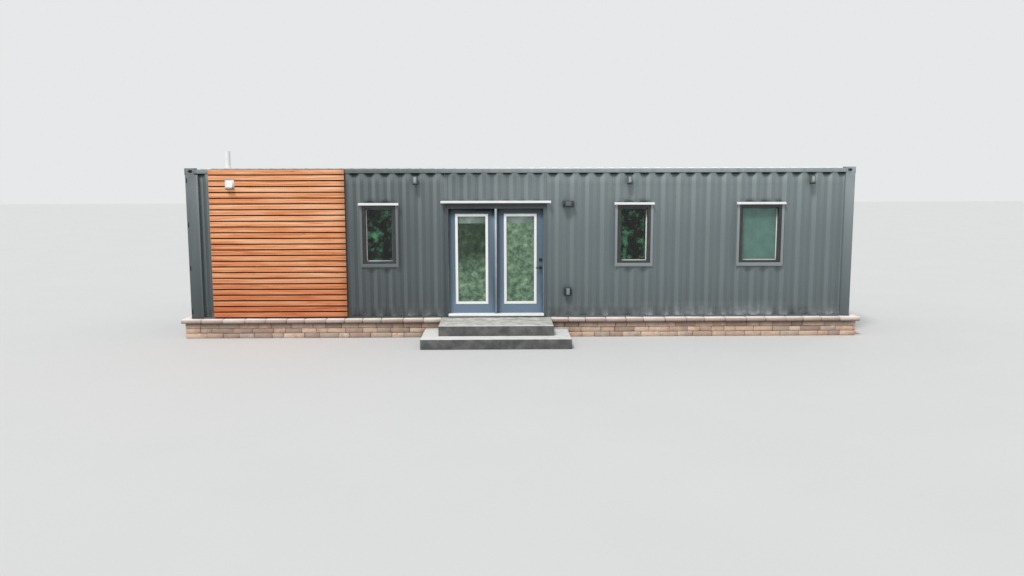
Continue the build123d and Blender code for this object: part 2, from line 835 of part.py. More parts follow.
def hinge_half(side, pieces):
    """Knuckles and plate on one side of the gap; pieces are the thirds of the barrel that belong to it."""
    with BuildPart() as half:
        for level in hinge_levels:
            low = level - hinge_height / 2
            with BuildSketch(Plane.XY.offset(low)):
                plate_y = hinge_y - plate_reach - hinge_plate_width / 2
                with Locations((hinge_x + side * plate_middle, plate_y)):
                    Rectangle(hinge_plate, hinge_plate_width)
            extrude(amount=hinge_height)
            for third in pieces:
                knuckle_low = low + third * knuckle_height + knuckle_gap / 2
                with BuildSketch(Plane.XY.offset(knuckle_low)):
                    with Locations((hinge_x, hinge_y)):
                        Circle(barrel_radius)
                    reach = plate_reach - plate_joint
                    with Locations((hinge_x + side * plate_middle, hinge_y - plate_joint - reach / 2)):
                        Rectangle(hinge_plate, reach)
                    if side > 0:
                        with Locations((hinge_x, hinge_y)):
                            Circle(pin_radius + pin_clearance, mode=Mode.SUBTRACT)
                extrude(amount=knuckle_height - knuckle_gap)
            if side < 0:
                with BuildSketch(Plane.XY.offset(low + knuckle_gap / 2)):
                    with Locations((hinge_x, hinge_y)):
                        Circle(pin_radius)
                extrude(amount=hinge_height - knuckle_gap)
    return half


save("post_hinges", hinge_half(-1, (0, 2)))
save("leaf_hinges", hinge_half(1, (1,)))

# Windows: deep dark frames through the wall, light sashes and single panes
window_front_y = crest_y - casing_thickness + window_set_in
window_depth = lining_inner_y - window_front_y
window_middle = window_bottom + window_height / 2


def window_rings(inset, foot, face, foot_face, front, depth):
    """One ring in each window, inset from the opening (by foot below) and face wide (foot_face below)."""
    inner = inset + face
    inner_foot = foot + foot_face
    with BuildPart() as rings:
        with BuildSketch(wall_plane(front)):
            for centre, wide in zip(window_centres, window_widths):
                with Locations((centre, window_middle + (foot - inset) / 2)):
                    Rectangle(wide - 2 * inset, window_height - inset - foot)
                with Locations((centre, window_middle + (inner_foot - inner) / 2)):
                    Rectangle(wide - 2 * inner, window_height - inner - inner_foot, mode=Mode.SUBTRACT)
        extrude(amount=-depth)
    return rings


sash_front_y = window_front_y + sash_setback
save("window_frames", window_rings(0, 0, window_face, window_foot, window_front_y, window_depth))
save("window_sashes", window_rings(window_face, window_foot, sash_face, sash_face, sash_front_y, sash_depth))

pane_inset = window_face + sash_face
pane_foot = window_foot + sash_face
with BuildPart() as window_glass:
    with BuildSketch(wall_plane(sash_front_y + (sash_depth - window_pane) / 2)):
        for centre, wide in zip(window_centres, window_widths):
            with Locations((centre, window_middle + (pane_foot - pane_inset) / 2)):
                Rectangle(wide - 2 * pane_inset, window_height - pane_inset - pane_foot)
    extrude(amount=-window_pane)
save("window_glass", window_glass)

# Casings: flat trim down both sides of each window and under it
with BuildPart() as window_casings:
    with BuildSketch(wall_plane(crest_y)):
        for centre, wide in zip(window_centres, window_widths):
            with Locations((centre, window_middle - casing_bottom / 2)):
                Rectangle(wide + 2 * casing_side, window_height + casing_bottom)
            with Locations((centre, window_middle)):
                Rectangle(wide, window_height, mode=Mode.SUBTRACT)
    extrude(amount=casing_thickness)
save("window_casings", window_casings)


# Drip caps: folded trims that throw rain clear, over each window and over the entrance
def drip_caps(places, bottom):
    """Caps with a sloping top over the given (centre, width) places, a side profile run along X."""
    front = crest_y - drip_cap_reach
    top = bottom + drip_cap_height
    with BuildPart() as caps:
        for centre, wide in places:
            with BuildSketch(Plane.YZ.offset(centre - wide / 2)):
                with BuildLine():
                    Polyline((crest_y, bottom), (crest_y, top), (front, top - drip_cap_fall), (front, bottom),
                             close=True)
                make_face()
            extrude(amount=wide)
    return caps


window_caps = [(centre, wide + 2 * window_cap_ear) for centre, wide in zip(window_centres, window_widths)]
with BuildPart() as all_drip_caps:
    add(drip_caps(window_caps, window_bottom + window_height).part)
    add(drip_caps([(door_centre, frame_width + 2 * door_cap_ear)], frame_top).part)
save("drip_caps", all_drip_caps)

# Battens: upright strips on the rails and the crests of the wall, behind the boards
clad_left = left_end + clad_from_left
clad_centre = clad_left + clad_width / 2
clad_height = board_count * board_pitch
batten_face_y = front_y - batten_thickness
board_face_y = batten_face_y - board_thickness
batten_step = (clad_width - batten_width) / (batten_count - 1)
with BuildPart() as cladding_battens:
    with BuildSketch(wall_plane(front_y)):
        with Locations((clad_centre, clad_bottom + clad_height / 2)):
            with GridLocations(batten_step, 1, batten_count, 1):
                Rectangle(batten_width, clad_height)
    extrude(amount=batten_thickness)
save("cladding_battens", cladding_battens)

# Boards: one outline with a groove at each joint, run along X
with BuildPart() as cladding_boards:
    with BuildSketch(Plane.YZ.offset(clad_centre - clad_width / 2)):
        with Locations(((batten_face_y + board_face_y) / 2, clad_bottom + clad_height / 2)):
            Rectangle(board_thickness, clad_height)
        with Locations((board_face_y, clad_bottom + clad_height / 2)):
            with GridLocations(1, board_pitch, 1, board_count - 1):
                Rectangle(board_thickness, board_groove, mode=Mode.SUBTRACT)
    extrude(amount=clad_width)
save("cladding_boards", cladding_boards)

# Vent hood on the boards: a flange and a sloping cowl that is open below
hood_centre = clad_left + hood_from_boards
hood_middle = hood_bottom + hood_height / 2
cowl_width = hood_width - 2 * hood_flange
cowl_height = hood_height - 2 * hood_flange
with BuildPart() as vent_hood:
    with BuildSketch(wall_plane(board_face_y)):
        with Locations((hood_centre, hood_middle)):
            Rectangle(hood_width, hood_height)
    extrude(amount=hood_wall)
    with BuildSketch(Plane.YZ.offset(hood_centre - cowl_width / 2)):
        with BuildLine():
            top = hood_middle + cowl_height / 2
            bottom = hood_middle - cowl_height / 2
            tip = board_face_y - hood_reach
            Polyline((board_face_y, bottom), (board_face_y, top), (tip, bottom), close=True)
        make_face()
    extrude(amount=cowl_width)
    with BuildSketch(Plane.YZ.offset(hood_centre - cowl_width / 2 + hood_wall)):
        with BuildLine():
            shy = 3 * hood_wall
            back = board_face_y - hood_wall
            Polyline((back, bottom), (back, top - shy), (tip + shy, bottom), close=True)
        make_face()
    extrude(amount=cowl_width - 2 * hood_wall, mode=Mode.SUBTRACT)
save("vent_hood", vent_hood)

# Vent pipe: a plastic tube through the roof, with a sealing boot on the folds
roof_crest_top = rail_top + roof_depth + sheet
with BuildPart() as roof_vent_pipe:
    with BuildSketch(Plane.XY.offset(rail_top)):
        with Locations((pipe_x, pipe_y)):
            Circle(pipe_radius)
            Circle(pipe_radius - pipe_wall, mode=Mode.SUBTRACT)
    extrude(amount=container_top + pipe_above_roof - rail_top)
save("roof_vent_pipe", roof_vent_pipe)

with BuildPart() as roof_vent_boot:
    with BuildSketch(Plane.XY.offset(roof_crest_top)) as plate:
        with Locations((pipe_x, pipe_y)):
            Rectangle(boot_size, boot_size)
        chamfer(plate.vertices(), boot_corner)
        with Locations((pipe_x, pipe_y)):
            Circle(pipe_radius, mode=Mode.SUBTRACT)
    extrude(amount=boot_plate)
    with BuildSketch(Plane.XY.offset(roof_crest_top + boot_plate)):
        with Locations((pipe_x, pipe_y)):
            RegularPolygon(boot_radius, boot_sides)
            Circle(pipe_radius, mode=Mode.SUBTRACT)
    extrude(amount=boot_height)
    rim = roof_vent_boot.faces().sort_by(Axis.Z)[-1].outer_wire().edges()
    chamfer(rim, boot_bevel)
save("roof_vent_boot", roof_vent_boot)

# Down lights: slim boxes with cut corners on short brackets, each on the middle of a crest
left_light = left_end + first_light_from_left
middle_light = left_end + middle_light_from_left
right_light = right_end - last_light_from_right
with BuildPart() as down_lights:
    for place in (left_light, middle_light, right_light):
        light_x = nearest_crest(place)
        light_y = crest_y - downlight_gap - downlight_size / 2
        with BuildSketch(Plane.XY.offset(downlight_bottom)) as body:
            with Locations((light_x, light_y)):
                Rectangle(downlight_size, downlight_size)
            chamfer(body.vertices(), downlight_corner)
            with Locations((light_x, crest_y - downlight_gap / 2)):
                Rectangle(downlight_neck, downlight_gap)
        extrude(amount=downlight_height)
        with BuildSketch(Plane.XY.offset(downlight_bottom)) as recess:
            inner_size = downlight_size - 2 * downlight_rim
            with Locations((light_x, light_y)):
                Rectangle(inner_size, inner_size)
            chamfer(recess.vertices(), downlight_corner)
        extrude(amount=downlight_recess, mode=Mode.SUBTRACT)
save("down_lights", down_lights)

# Wall light: a wedge-shaped box on the crest beside the entrance
box_x = nearest_crest(frame_right + box_from_frame)
with BuildPart() as wall_light:
    with BuildSketch(Plane.YZ.offset(box_x - wall_light_width / 2)):
        with BuildLine():
            top = wall_light_bottom + wall_light_height
            front = crest_y - wall_light_reach
            Polyline((crest_y, wall_light_bottom), (crest_y, top), (front, top - wall_light_height / 4),
                     (front + wall_light_reach / 4, wall_light_bottom), close=True)
        make_face()
    extrude(amount=wall_light_width)
    chamfer(wall_light.edges().filter_by(Axis.X).sort_by(Axis.Y)[0], wall_light_height / 12)
save("wall_light", wall_light)

# Outdoor outlet with a bulging cover, under the wall light
with BuildPart() as outdoor_outlet:
    outlet_middle = (box_x, outlet_bottom + outlet_height / 2)
    with BuildSketch(wall_plane(crest_y)):
        with Locations(outlet_middle):
            Rectangle(outlet_width, outlet_height)
    extrude(amount=outlet_reach / 3)
    with BuildSketch(wall_plane(crest_y - outlet_reach / 3)):
        with Locations(outlet_middle):
            Rectangle(outlet_width * 0.8, outlet_height * 0.9)
    extrude(amount=outlet_reach * 2 / 3)
    chamfer(outdoor_outlet.faces().sort_by(Axis.Y)[0].edges(), outlet_width / 8)
save("outdoor_outlet", outdoor_outlet)

# Cargo doors: two framed leaves of folded sheet between the left posts
cargo_half_span = half_width - post_depth - cargo_gap
cargo_leaf_width = cargo_half_span - cargo_gap / 2
cargo_face_x = -half_length + cargo_setback
cargo_inner_width = cargo_leaf_width - 2 * cargo_frame
cargo_pitch = cargo_crest + cargo_valley + 2 * cargo_slope
cargo_folds = int((cargo_inner_width - cargo_crest) / cargo_pitch)
cargo_first = -(cargo_folds * cargo_pitch + cargo_crest) / 2
cargo_end = cargo_inner_width / 2
cargo_shape = (cargo_crest, cargo_slope, cargo_valley, cargo_depth)
cargo_points = fold_line(-cargo_end, cargo_end, cargo_first, *cargo_shape)
with BuildPart() as cargo_doors:
    for side in (-1, 1):
        leaf_y = centre_y + side * (cargo_gap + cargo_leaf_width) / 2
        with BuildSketch(Plane.YZ.offset(cargo_face_x)):
            with Locations((leaf_y, cargo_middle)):
                Rectangle(cargo_leaf_width, cargo_height)
                Rectangle(cargo_inner_width, cargo_height - 2 * cargo_frame, mode=Mode.SUBTRACT)
        extrude(amount=cargo_frame)
        with BuildSketch(Plane.XY.offset(cargo_bottom + cargo_frame)):
            with BuildLine():
                outline = sheet_outline(cargo_points, cargo_face_x, 1)
                Polyline(*[(across, leaf_y + along) for along, across in outline], close=True)
            make_face()
        extrude(amount=cargo_height - 2 * cargo_frame)
save("cargo_doors", cargo_doors)

# Lock rods: two round tubes on each leaf, from its bottom to its top
rod_x = cargo_face_x - lock_guide_depth - lock_rod_radius
rod_reaches = (lock_rod_first, lock_rod_first + lock_rod_spacing)
rod_places = [centre_y + side * reach for side in (-1, 1) for reach in rod_reaches]
with BuildPart() as lock_rods:
    with BuildSketch(Plane.XY.offset(cargo_bottom)):
        for rod_y in rod_places:
            with Locations((rod_x, rod_y)):
                Circle(lock_rod_radius - lock_rod_clearance)
    extrude(amount=cargo_height)
save("lock_rods", lock_rods)

# Guides: blocks on the cargo doors that carry the rods
guide_step = (cargo_height - lock_guide_height) / (lock_guides - 1)
with BuildPart() as lock_rod_guides:
    with BuildSketch(Plane.YZ.offset(cargo_face_x)):
        for rod_y in rod_places:
            with Locations((rod_y, cargo_middle)):
                with GridLocations(1, guide_step, 1, lock_guides):
                    Rectangle(lock_guide_width, lock_guide_height)
    extrude(amount=-lock_guide_depth)
save("lock_rod_guides", lock_rod_guides)

# Hand levers: one beside each rod, the inner pair above the outer pair, flat on their catches
with BuildPart() as lock_levers:
    for side in (-1, 1):
        for turn in (0, 1):
            rod_y = centre_y + side * (lock_rod_first + turn * lock_rod_spacing)
            lever_y = rod_y + side * (1 - 2 * turn) * (lock_rod_radius + rod_lever_length / 2)
            level = cargo_bottom + rod_lever_above_sill + turn * rod_lever_step
            with BuildSketch(Plane.YZ.offset(cargo_face_x)):
                with Locations((lever_y, level)):
                    Rectangle(rod_lever_length, rod_lever_section)
            extrude(amount=-lock_guide_depth - lock_rod_radius)
save("lock_levers", lock_levers)

# Cargo door hinges: straps on the outer stile of each leaf, lapped on the post
with BuildPart() as cargo_hinge_straps:
    for side in (-1, 1):
        strap_y = centre_y + side * (cargo_half_span + cargo_gap - cargo_hinge_length / 2)
        with BuildSketch(Plane.YZ.offset(cargo_face_x)):
            with Locations((strap_y, cargo_middle)):
                with GridLocations(1, cargo_hinge_spacing, 1, cargo_hinges):
                    Rectangle(cargo_hinge_length, cargo_hinge_height)
        extrude(amount=-cargo_hinge_thickness)
save("cargo_hinge_straps", cargo_hinge_straps)
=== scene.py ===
# %% [markdown]
# # A shipping container made into a cabin
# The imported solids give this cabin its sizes: a steel box 12.2 m long on a skirt of blocks, with
# glazed doors, three windows and a panel of timber boards. This lesson dresses those solids. Every
# new piece is worked out with numpy in metres, in the same frame as the solids, and every finish is
# made of nodes, so nothing here reads a picture. First the frame is loaded and its box is kept.

# %% Load the frame
import json
import math

import bmesh
import bpy
import numpy as np
from mathutils import Matrix, Vector

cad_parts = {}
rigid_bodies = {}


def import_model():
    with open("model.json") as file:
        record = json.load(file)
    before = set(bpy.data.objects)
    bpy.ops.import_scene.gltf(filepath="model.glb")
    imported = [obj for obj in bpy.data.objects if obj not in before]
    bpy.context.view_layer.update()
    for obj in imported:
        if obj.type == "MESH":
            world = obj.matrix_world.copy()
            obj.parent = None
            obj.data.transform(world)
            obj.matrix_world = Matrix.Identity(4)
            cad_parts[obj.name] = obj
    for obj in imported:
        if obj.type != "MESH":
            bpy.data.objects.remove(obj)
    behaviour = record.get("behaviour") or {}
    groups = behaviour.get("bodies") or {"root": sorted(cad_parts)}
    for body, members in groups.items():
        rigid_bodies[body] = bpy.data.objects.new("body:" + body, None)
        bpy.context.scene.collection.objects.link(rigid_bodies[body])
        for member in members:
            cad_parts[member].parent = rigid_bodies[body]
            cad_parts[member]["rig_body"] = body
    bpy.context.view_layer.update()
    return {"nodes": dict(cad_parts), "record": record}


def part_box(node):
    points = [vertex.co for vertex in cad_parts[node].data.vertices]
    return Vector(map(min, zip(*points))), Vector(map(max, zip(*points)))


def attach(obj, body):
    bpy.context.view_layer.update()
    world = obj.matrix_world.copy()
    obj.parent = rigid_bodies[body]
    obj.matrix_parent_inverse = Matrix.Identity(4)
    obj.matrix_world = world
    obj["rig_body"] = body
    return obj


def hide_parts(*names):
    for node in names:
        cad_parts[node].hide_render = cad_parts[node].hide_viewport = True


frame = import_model()
nodes = frame["nodes"]
slot_of = {row["node"]: row["material_slot"] for row in frame["record"]["subparts"]}

# %% [markdown]
# ## The camera
# The photograph was taken 16 m in front of the container and 2.9 m above the ground it stands on.
# The camera's place, turn and lens were solved from the corners of the container, so here they are
# only written down: the three columns of the turn are the camera's right, its up and the way
# opposite to where it looks.

# %% Camera
mm = 0.001
camera_place = (-0.3860, -16.5486, 2.9006)
yaw, pitch, roll = -0.0127844, 0.1251145, 0.0027120
turn = Matrix.Rotation(yaw, 3, "Z") @ Matrix.Rotation(-pitch, 3, "X") @ Matrix.Rotation(roll, 3, "Y")
# A Blender camera looks along its own -Z, so it is first tipped forward by a quarter turn
turn = turn @ Matrix.Rotation(math.pi / 2, 3, "X")
lens = bpy.data.cameras.new("photo_camera")
lens.sensor_width = 36.0
lens.lens = 30.52
camera = bpy.data.objects.new("photo_camera", lens)
camera.matrix_world = Matrix.Translation(camera_place) @ turn.to_4x4()
bpy.context.scene.collection.objects.link(camera)
bpy.context.scene.camera = camera
bpy.context.scene.view_settings.view_transform = "Standard"
print("camera at", tuple(round(v, 3) for v in camera.matrix_world.translation))

# %% [markdown]
# ## One helper for nodes, one for colours
# A finish is a small tree of nodes. One function adds any node: it sets what the node is told and
# has its sockets filled or joined. Given in order, the sockets of a Map Range are the value, where
# it starts and ends, and what comes out there; a Mix of colours has its share at 0 and the colours
# at 6 and 7. Colours are written as sRGB hex, the way a paint card is read from a screen, and one
# function turns them into the linear values that the renderer adds up.


# %% Helpers for finishes
def linear(hex_text):
    """sRGB hex to linear RGBA: v / 12.92 below 0.04045, else ((v + 0.055) / 1.055) to the power 2.4."""
    v = np.array([int(hex_text[i:i + 2], 16) for i in (1, 3, 5)]) / 255
    out = np.where(v <= 0.04045, v / 12.92, ((v + 0.055) / 1.055) ** 2.4)
    return (*out.tolist(), 1.0)


def fill(node, inputs):
    """Gives sockets a number, a hex colour or a link: from a socket, or from a node's first output in use."""
    for key, value in inputs.items():
        if isinstance(value, bpy.types.Node):
            value = next(output for output in value.outputs if output.enabled)
        if isinstance(value, bpy.types.NodeSocket):
            node.id_data.links.new(value, node.inputs[key])
        else:
            node.inputs[key].default_value = linear(value) if isinstance(value, str) else value


def add(tree, kind, inputs=(), stops=None, **settings):
    """Adds a node with its settings; inputs are its sockets in order or by name, stops a ramp's colours."""
    node = tree.nodes.new("ShaderNode" + kind)
    for key, value in settings.items():
        setattr(node, key, value)
    fill(node, inputs if isinstance(inputs, dict) else dict(enumerate(inputs)))
    if stops:
        band = node.color_ramp
        while len(band.elements) < len(stops):
            band.elements.new(1.0)
        for element, (at, colour) in zip(band.elements, stops):
            element.position = at
            element.color = linear(colour) if isinstance(colour, str) else (colour, colour, colour, 1)
    return node


def new_finish(name, roughness=0.5, metallic=0.0, ior=1.5):
    """A material, its nodes and shader, and the Object coordinates that its patterns use (metres)."""
    material = bpy.data.materials.new(name)
    material.use_nodes = True
    tree = material.node_tree
    shader = tree.nodes["Principled BSDF"]
    fill(shader, {"Roughness": roughness, "Metallic": metallic})
    if not metallic:
        fill(shader, {"IOR": ior})
    return material, tree, shader, add(tree, "TexCoord").outputs["Object"]


finish = {}
print("helpers ready")

# %% [markdown]
# ## Container paint
# A container is sprayed with a thick satin enamel over primer. Here the colour is paler high up and
# darker low down, and a pale band along the very foot is painted light, lifting the shade there. The
# left end is darkened by a painted shade along X. Rain leaves faint upright streaks, a painted
# shadow lies in the valleys under the top rail, the slopes of the folds take a painted sheen, and the
# sprayed skin keeps a low orange peel. So the colour runs with height through a ramp, and two noises
# shift where it is read: one drawn out upright for streaks, one broad for patches. The frame, the
# roof and the trims are the same paint read from their own ramps. The real peel is 2 to 4 mm across,
# too fine to show, so it is drawn at 9 mm.


# %% Container paint
# Painted light and shade along the front: the left post, the open bay beside it, what lies behind
# the boards, and then the wall, which comes out of the shade up to 1 m right of the middle
shade_reach = 6.1  # X, to both sides, where this shade starts and ends
painted_shade_along = [(0.0, 0.63), (0.0166, 0.63), (0.018, 0.90), (0.036, 0.90), (0.038, 0.56), (0.24, 0.52),
               (0.33, 0.60), (0.42, 0.80), (0.50, 0.97), (0.58, 1.0)]
container_middle = 0.5625  # Y of the middle of the container's width
bay_end = -5.65  # X where the bay beside the left post ends and the boards start
boards_end = -3.235  # X where the boards end


def container_enamel(name, stops, span=(0.0, 3.2), streak=0.16, roughness=0.55, rail_shadow=0.0,
                     slope_sheen=0.0, nook_shade=0.0, along=painted_shade_along):
    """Sprayed satin enamel: a ramp over the heights of span, read at height plus streaks and patches.

    The colour is multiplied by the ramp along, over X, a painted light and shade. rail_shadow is how
    dark the painted shadow is in the valleys under the top rail. slope_sheen pales the slopes of the
    folds as a painted sheen, most near the top: a slope is where the normal has both an X and a Y
    part, so their product is 0 on every flat. nook_shade is how dark the painted shade is in the bay
    beside the left post, on the slopes next to it and low down there; with it comes a painted shade
    behind the boards, dark brown, which shows in the gaps between them.
    """
    material, tree, shader, place = new_finish(name, roughness, ior=1.48)
    x, y, height = add(tree, "SeparateXYZ", (place,)).outputs
    run = add(tree, "Mapping", {"Vector": place, "Scale": (9.0, 9.0, 0.35)})
    rain = add(tree, "TexNoise", {"Vector": run, "Scale": 1.0, "Detail": 4.0, "Roughness": 0.6})
    patch = add(tree, "TexNoise", {"Vector": place, "Scale": 1.3, "Detail": 3.0})
    both = add(tree, "Math", (rain, patch), operation="ADD")
    reach = streak * (span[1] - span[0])
    shift = add(tree, "Math", (both, reach, -reach), operation="MULTIPLY_ADD")
    read = add(tree, "Math", (height, shift), operation="ADD")
    colour = add(tree, "ValToRGB", (add(tree, "MapRange", (read, *span)),), stops)
    # Painted light and shade along X: the colour is multiplied by the ramp along
    shade = add(tree, "ValToRGB", (add(tree, "MapRange", (x, -shade_reach, shade_reach)),), along)
    colour = add(tree, "Mix", {0: 1.0, 6: colour, 7: shade}, data_type="RGBA", blend_type="MULTIPLY")
    turn = add(tree, "SeparateXYZ", (add(tree, "NewGeometry").outputs["Normal"],)).outputs
    # Painted sheen: the slopes of the folds are made paler than the flats, most near the top
    if slope_sheen:
        both_ways = add(tree, "Math", (turn["X"], turn["Y"]), operation="MULTIPLY")
        slope = add(tree, "Math", (both_ways,), operation="ABSOLUTE")
        pale = add(tree, "MapRange", (slope, 0.08, 0.36, 0.0, slope_sheen))
        high_up = add(tree, "MapRange", (height, 1.9, 2.8, 0.55))
        pale = add(tree, "Math", (pale, high_up), operation="MULTIPLY")
        colour = add(tree, "Mix", {0: pale, 6: colour, 7: "#d3dcdd"}, data_type="RGBA")
    # Painted shadow: the valleys just under the top rail are darkened, where the rail's shade falls
    if rail_shadow:
        overlay = add(tree, "MapRange", (height, 2.966, 2.988, 0.0, rail_shadow))
        out = add(tree, "Math", (y, container_middle), operation="SUBTRACT")
        out = add(tree, "Math", (out,), operation="ABSOLUTE")
        valley = add(tree, "MapRange", (out, 1.205, 1.187))
        overlay = add(tree, "Math", (overlay, valley), operation="MULTIPLY")
        colour = add(tree, "Mix", {0: overlay, 6: colour, 7: "#22282a"}, data_type="RGBA")
    # Painted shade: the bay beside the left post is darkened on the slopes next to the post and low down
    if nook_shade:
        away = add(tree, "MapRange", (turn["X"], -0.12, -0.35))
        beside = add(tree, "MapRange", (x, -5.815, -5.83))
        dust_and_painted_light = add(tree, "MapRange", (height, 2.2, 0.5, 0.0, 0.55))
        dark = add(tree, "Math", (away, beside), operation="MAXIMUM")
        dark = add(tree, "Math", (dark, dust_and_painted_light), operation="MAXIMUM")
        in_bay = add(tree, "MapRange", (x, bay_end + 20 * mm, bay_end, 0.0, nook_shade))
        dark = add(tree, "Math", (dark, in_bay), operation="MULTIPLY")
        colour = add(tree, "Mix", {0: dark, 6: colour, 7: "#1f2426"}, data_type="RGBA")
        # Painted shade behind the boards: the front there is made dark brown, so that the gaps between the
        # boards read dark
        left = add(tree, "MapRange", (x, bay_end - 5 * mm, bay_end))
        right = add(tree, "MapRange", (x, boards_end + 5 * mm, boards_end))
        front = add(tree, "MapRange", (y, -0.4, -0.5, 0.0, 0.92))
        gap_shade = add(tree, "Math", (left, right), operation="MULTIPLY")
        gap_shade = add(tree, "Math", (gap_shade, front), operation="MULTIPLY")
        colour = add(tree, "Mix", {0: gap_shade, 6: colour, 7: "#2b1006"}, data_type="RGBA")
    dull = add(tree, "MapRange", (rain, 0.0, 1.0, roughness - 0.08, roughness + 0.1))
    peel = add(tree, "TexNoise", {"Vector": place, "Scale": 110.0, "Detail": 1.0})
    bump = add(tree, "Bump", {"Height": peel, "Distance": 0.4 * mm, "Strength": 0.5})
    fill(shader, {"Base Color": colour, "Roughness": dull, "Normal": bump})
    return material


# Paler high up and darker low down; the pale band along the very foot is painted light, lifting the shade
# there
wall_stops = [(0.112, "#cdd8db"), (0.135, "#8d979a"), (0.165, "#667072"), (0.20, "#5b6567"),
              (0.35, "#636e70"), (0.62, "#6a7577"), (0.86, "#768183"), (0.93, "#6f7a7c")]
frame_stops = [(0.10, "#5c6567"), (0.30, "#677173"), (0.60, "#7b8486"), (0.87, "#8f999b"), (0.93, "#8a9395"),
               (0.965, "#99a1a3")]
# The folds' tops are painted nearly white and their hollows darker: painted light and shade
roof_stops = [(0.18, "#879092"), (0.42, "#dfe6e2"), (0.95, "#f4f9f6")]
# The head of the door frame is painted dark: painted shade under the drip cap
trim_stops = [(0.15, "#566064"), (0.70, "#5d676b"), (0.76, "#343a3c")]
casing_stops = [(0.3, "#868e90"), (0.9, "#959c9e")]
finish["wall_enamel"] = container_enamel("wall_enamel", wall_stops, streak=0.08, rail_shadow=0.9,
                                         slope_sheen=0.13, nook_shade=0.58)
finish["container_paint"] = container_enamel("frame_enamel", frame_stops)
finish["roof_enamel"] = container_enamel("roof_enamel", roof_stops, (3.076, 3.104))
finish["casing_enamel"] = container_enamel("casing_enamel", casing_stops, streak=0.1)
finish["door_trim_enamel"] = container_enamel("door_trim_enamel", trim_stops, streak=0.03)
print("container paints", len(finish), "of", len(finish["wall_enamel"].node_tree.nodes), "nodes each at most")

# %% [markdown]
# ## Plain coatings, plastics and metals
# Many small pieces are coated or moulded in one colour, but none is perfectly even: a powder coat
# has a fine grain, moulded plastic a soft haze, a zinc layer cloudy spangles. One recipe covers
# them: a dirt noise between a clean and a worn colour, the same noise in the roughness, and a fine
# grain as bump. What differs is written as each one's real name, colours, gloss and grain size.


# %% Coated and moulded finishes
def coated(name, clean, worn, roughness, metallic, ior, grain, lift, patch):
    """Clean to worn colour by a cloudy noise; grain is bumps a metre and lift their height in mm."""
    material, tree, shader, place = new_finish(name, roughness, metallic, ior)
    cloud = add(tree, "TexNoise", {"Vector": place, "Scale": patch, "Detail": 5.0, "Roughness": 0.65})
    colour = add(tree, "ValToRGB", (cloud,), [(0.38, clean), (0.72, worn)])
    dull = add(tree, "MapRange", (cloud, 0.0, 1.0, max(roughness - 0.12, 0.05), roughness + 0.14))
    fine = add(tree, "TexNoise", {"Vector": place, "Scale": grain, "Detail": 2.0})
    bump = add(tree, "Bump", {"Height": fine, "Distance": lift * mm, "Strength": 0.6})
    fill(shader, {"Base Color": colour, "Roughness": dull, "Normal": bump})
    return material


coats = {
    # slot: name, clean and worn colour, roughness, metallic, IOR, bumps a metre, their mm, patches a metre
    "underframe_paint": ("bitumen_paint", "#1d1d1f", "#2f2c29", 0.7, 0, 1.6, 90, 0.8, 3),
    "white_board": ("painted_plasterboard", "#dddcd8", "#d0cec8", 0.8, 0, 1.5, 60, 0.3, 2),
    "white_plastic": ("moulded_vinyl", "#fbfcfc", "#f1f3f3", 0.35, 0, 1.53, 220, 0.05, 5),
    "white_trim": ("coated_aluminium_flashing", "#f7f8f7", "#e8e9e8", 0.4, 0, 1.5, 200, 0.08, 4),
    "black_hardware": ("black_powder_coat", "#17181a", "#26272a", 0.5, 0, 1.5, 420, 0.06, 20),
    "hinge_steel": ("zinc_plated_steel", "#b9bcc0", "#8f9398", 0.38, 1, 1.5, 300, 0.04, 60),
    "rod_steel": ("galvanised_tube_painted_over", "#6f7b7d", "#8d9597", 0.5, 0, 1.5, 120, 0.2, 6),
    "bronze_frame": ("anodised_bronze_aluminium", "#313234", "#3e3f41", 0.42, 0, 1.5, 260, 0.04, 6),
    "sash_plastic": ("bronze_vinyl_sash", "#4b5051", "#5a5f60", 0.4, 0, 1.53, 220, 0.05, 6),
    "threshold_aluminium": ("mill_finish_aluminium", "#f0f1f2", "#dcdedf", 0.45, 0, 1.5, 160, 0.1, 9),
    "grey_lamp_paint": ("grey_powder_coat", "#6c7474", "#5a6262", 0.5, 0, 1.5, 380, 0.06, 12),
    "grey_plastic": ("graphite_polycarbonate", "#2d3235", "#25292c", 0.48, 0, 1.58, 240, 0.06, 10),
    "pipe_plastic": ("white_pvc_pipe", "#ffffff", "#f6f6f3", 0.38, 0, 1.53, 180, 0.06, 6),
    "boot_rubber": ("pale_epdm_rubber", "#e4e4e0", "#d2d2cd", 0.7, 0, 1.52, 150, 0.3, 8),
    "bead_vinyl": ("ivory_vinyl_bead", "#e4e8e3", "#cfd4cf", 0.4, 0, 1.53, 220, 0.05, 9),
    "astragal_vinyl": ("grey_vinyl_moulding", "#a3abb1", "#939ba1", 0.42, 0, 1.53, 220, 0.05, 6),
    "gasket_rubber": ("black_epdm_gasket", "#151617", "#222324", 0.7, 0, 1.52, 300, 0.1, 20),
    "lens_acrylic": ("prismatic_acrylic_lens", "#6a7274", "#596163", 0.3, 0, 1.49, 260, 0.2, 12),
    "lamp_glass": ("frosted_lamp_glass", "#a9b0b1", "#939b9c", 0.35, 0, 1.52, 260, 0.1, 14),
    "cover_acrylic": ("clear_cover_over_sockets", "#929999", "#7b8282", 0.22, 0, 1.49, 200, 0.1, 9),
    "slat_dark": ("dark_aluminium_slat", "#2b3a33", "#24312b", 0.45, 0, 1.5, 200, 0.05, 4),
    "slat_stack": ("stacked_slat_edges", "#8c9d96", "#76877f", 0.5, 0, 1.5, 200, 0.05, 8),
    "slat_pale": ("pale_green_aluminium_slat", "#e6f4ee", "#cfe3da", 0.45, 0, 1.5, 200, 0.05, 3),
}
for slot, values in coats.items():
    finish[slot] = coated(*values)
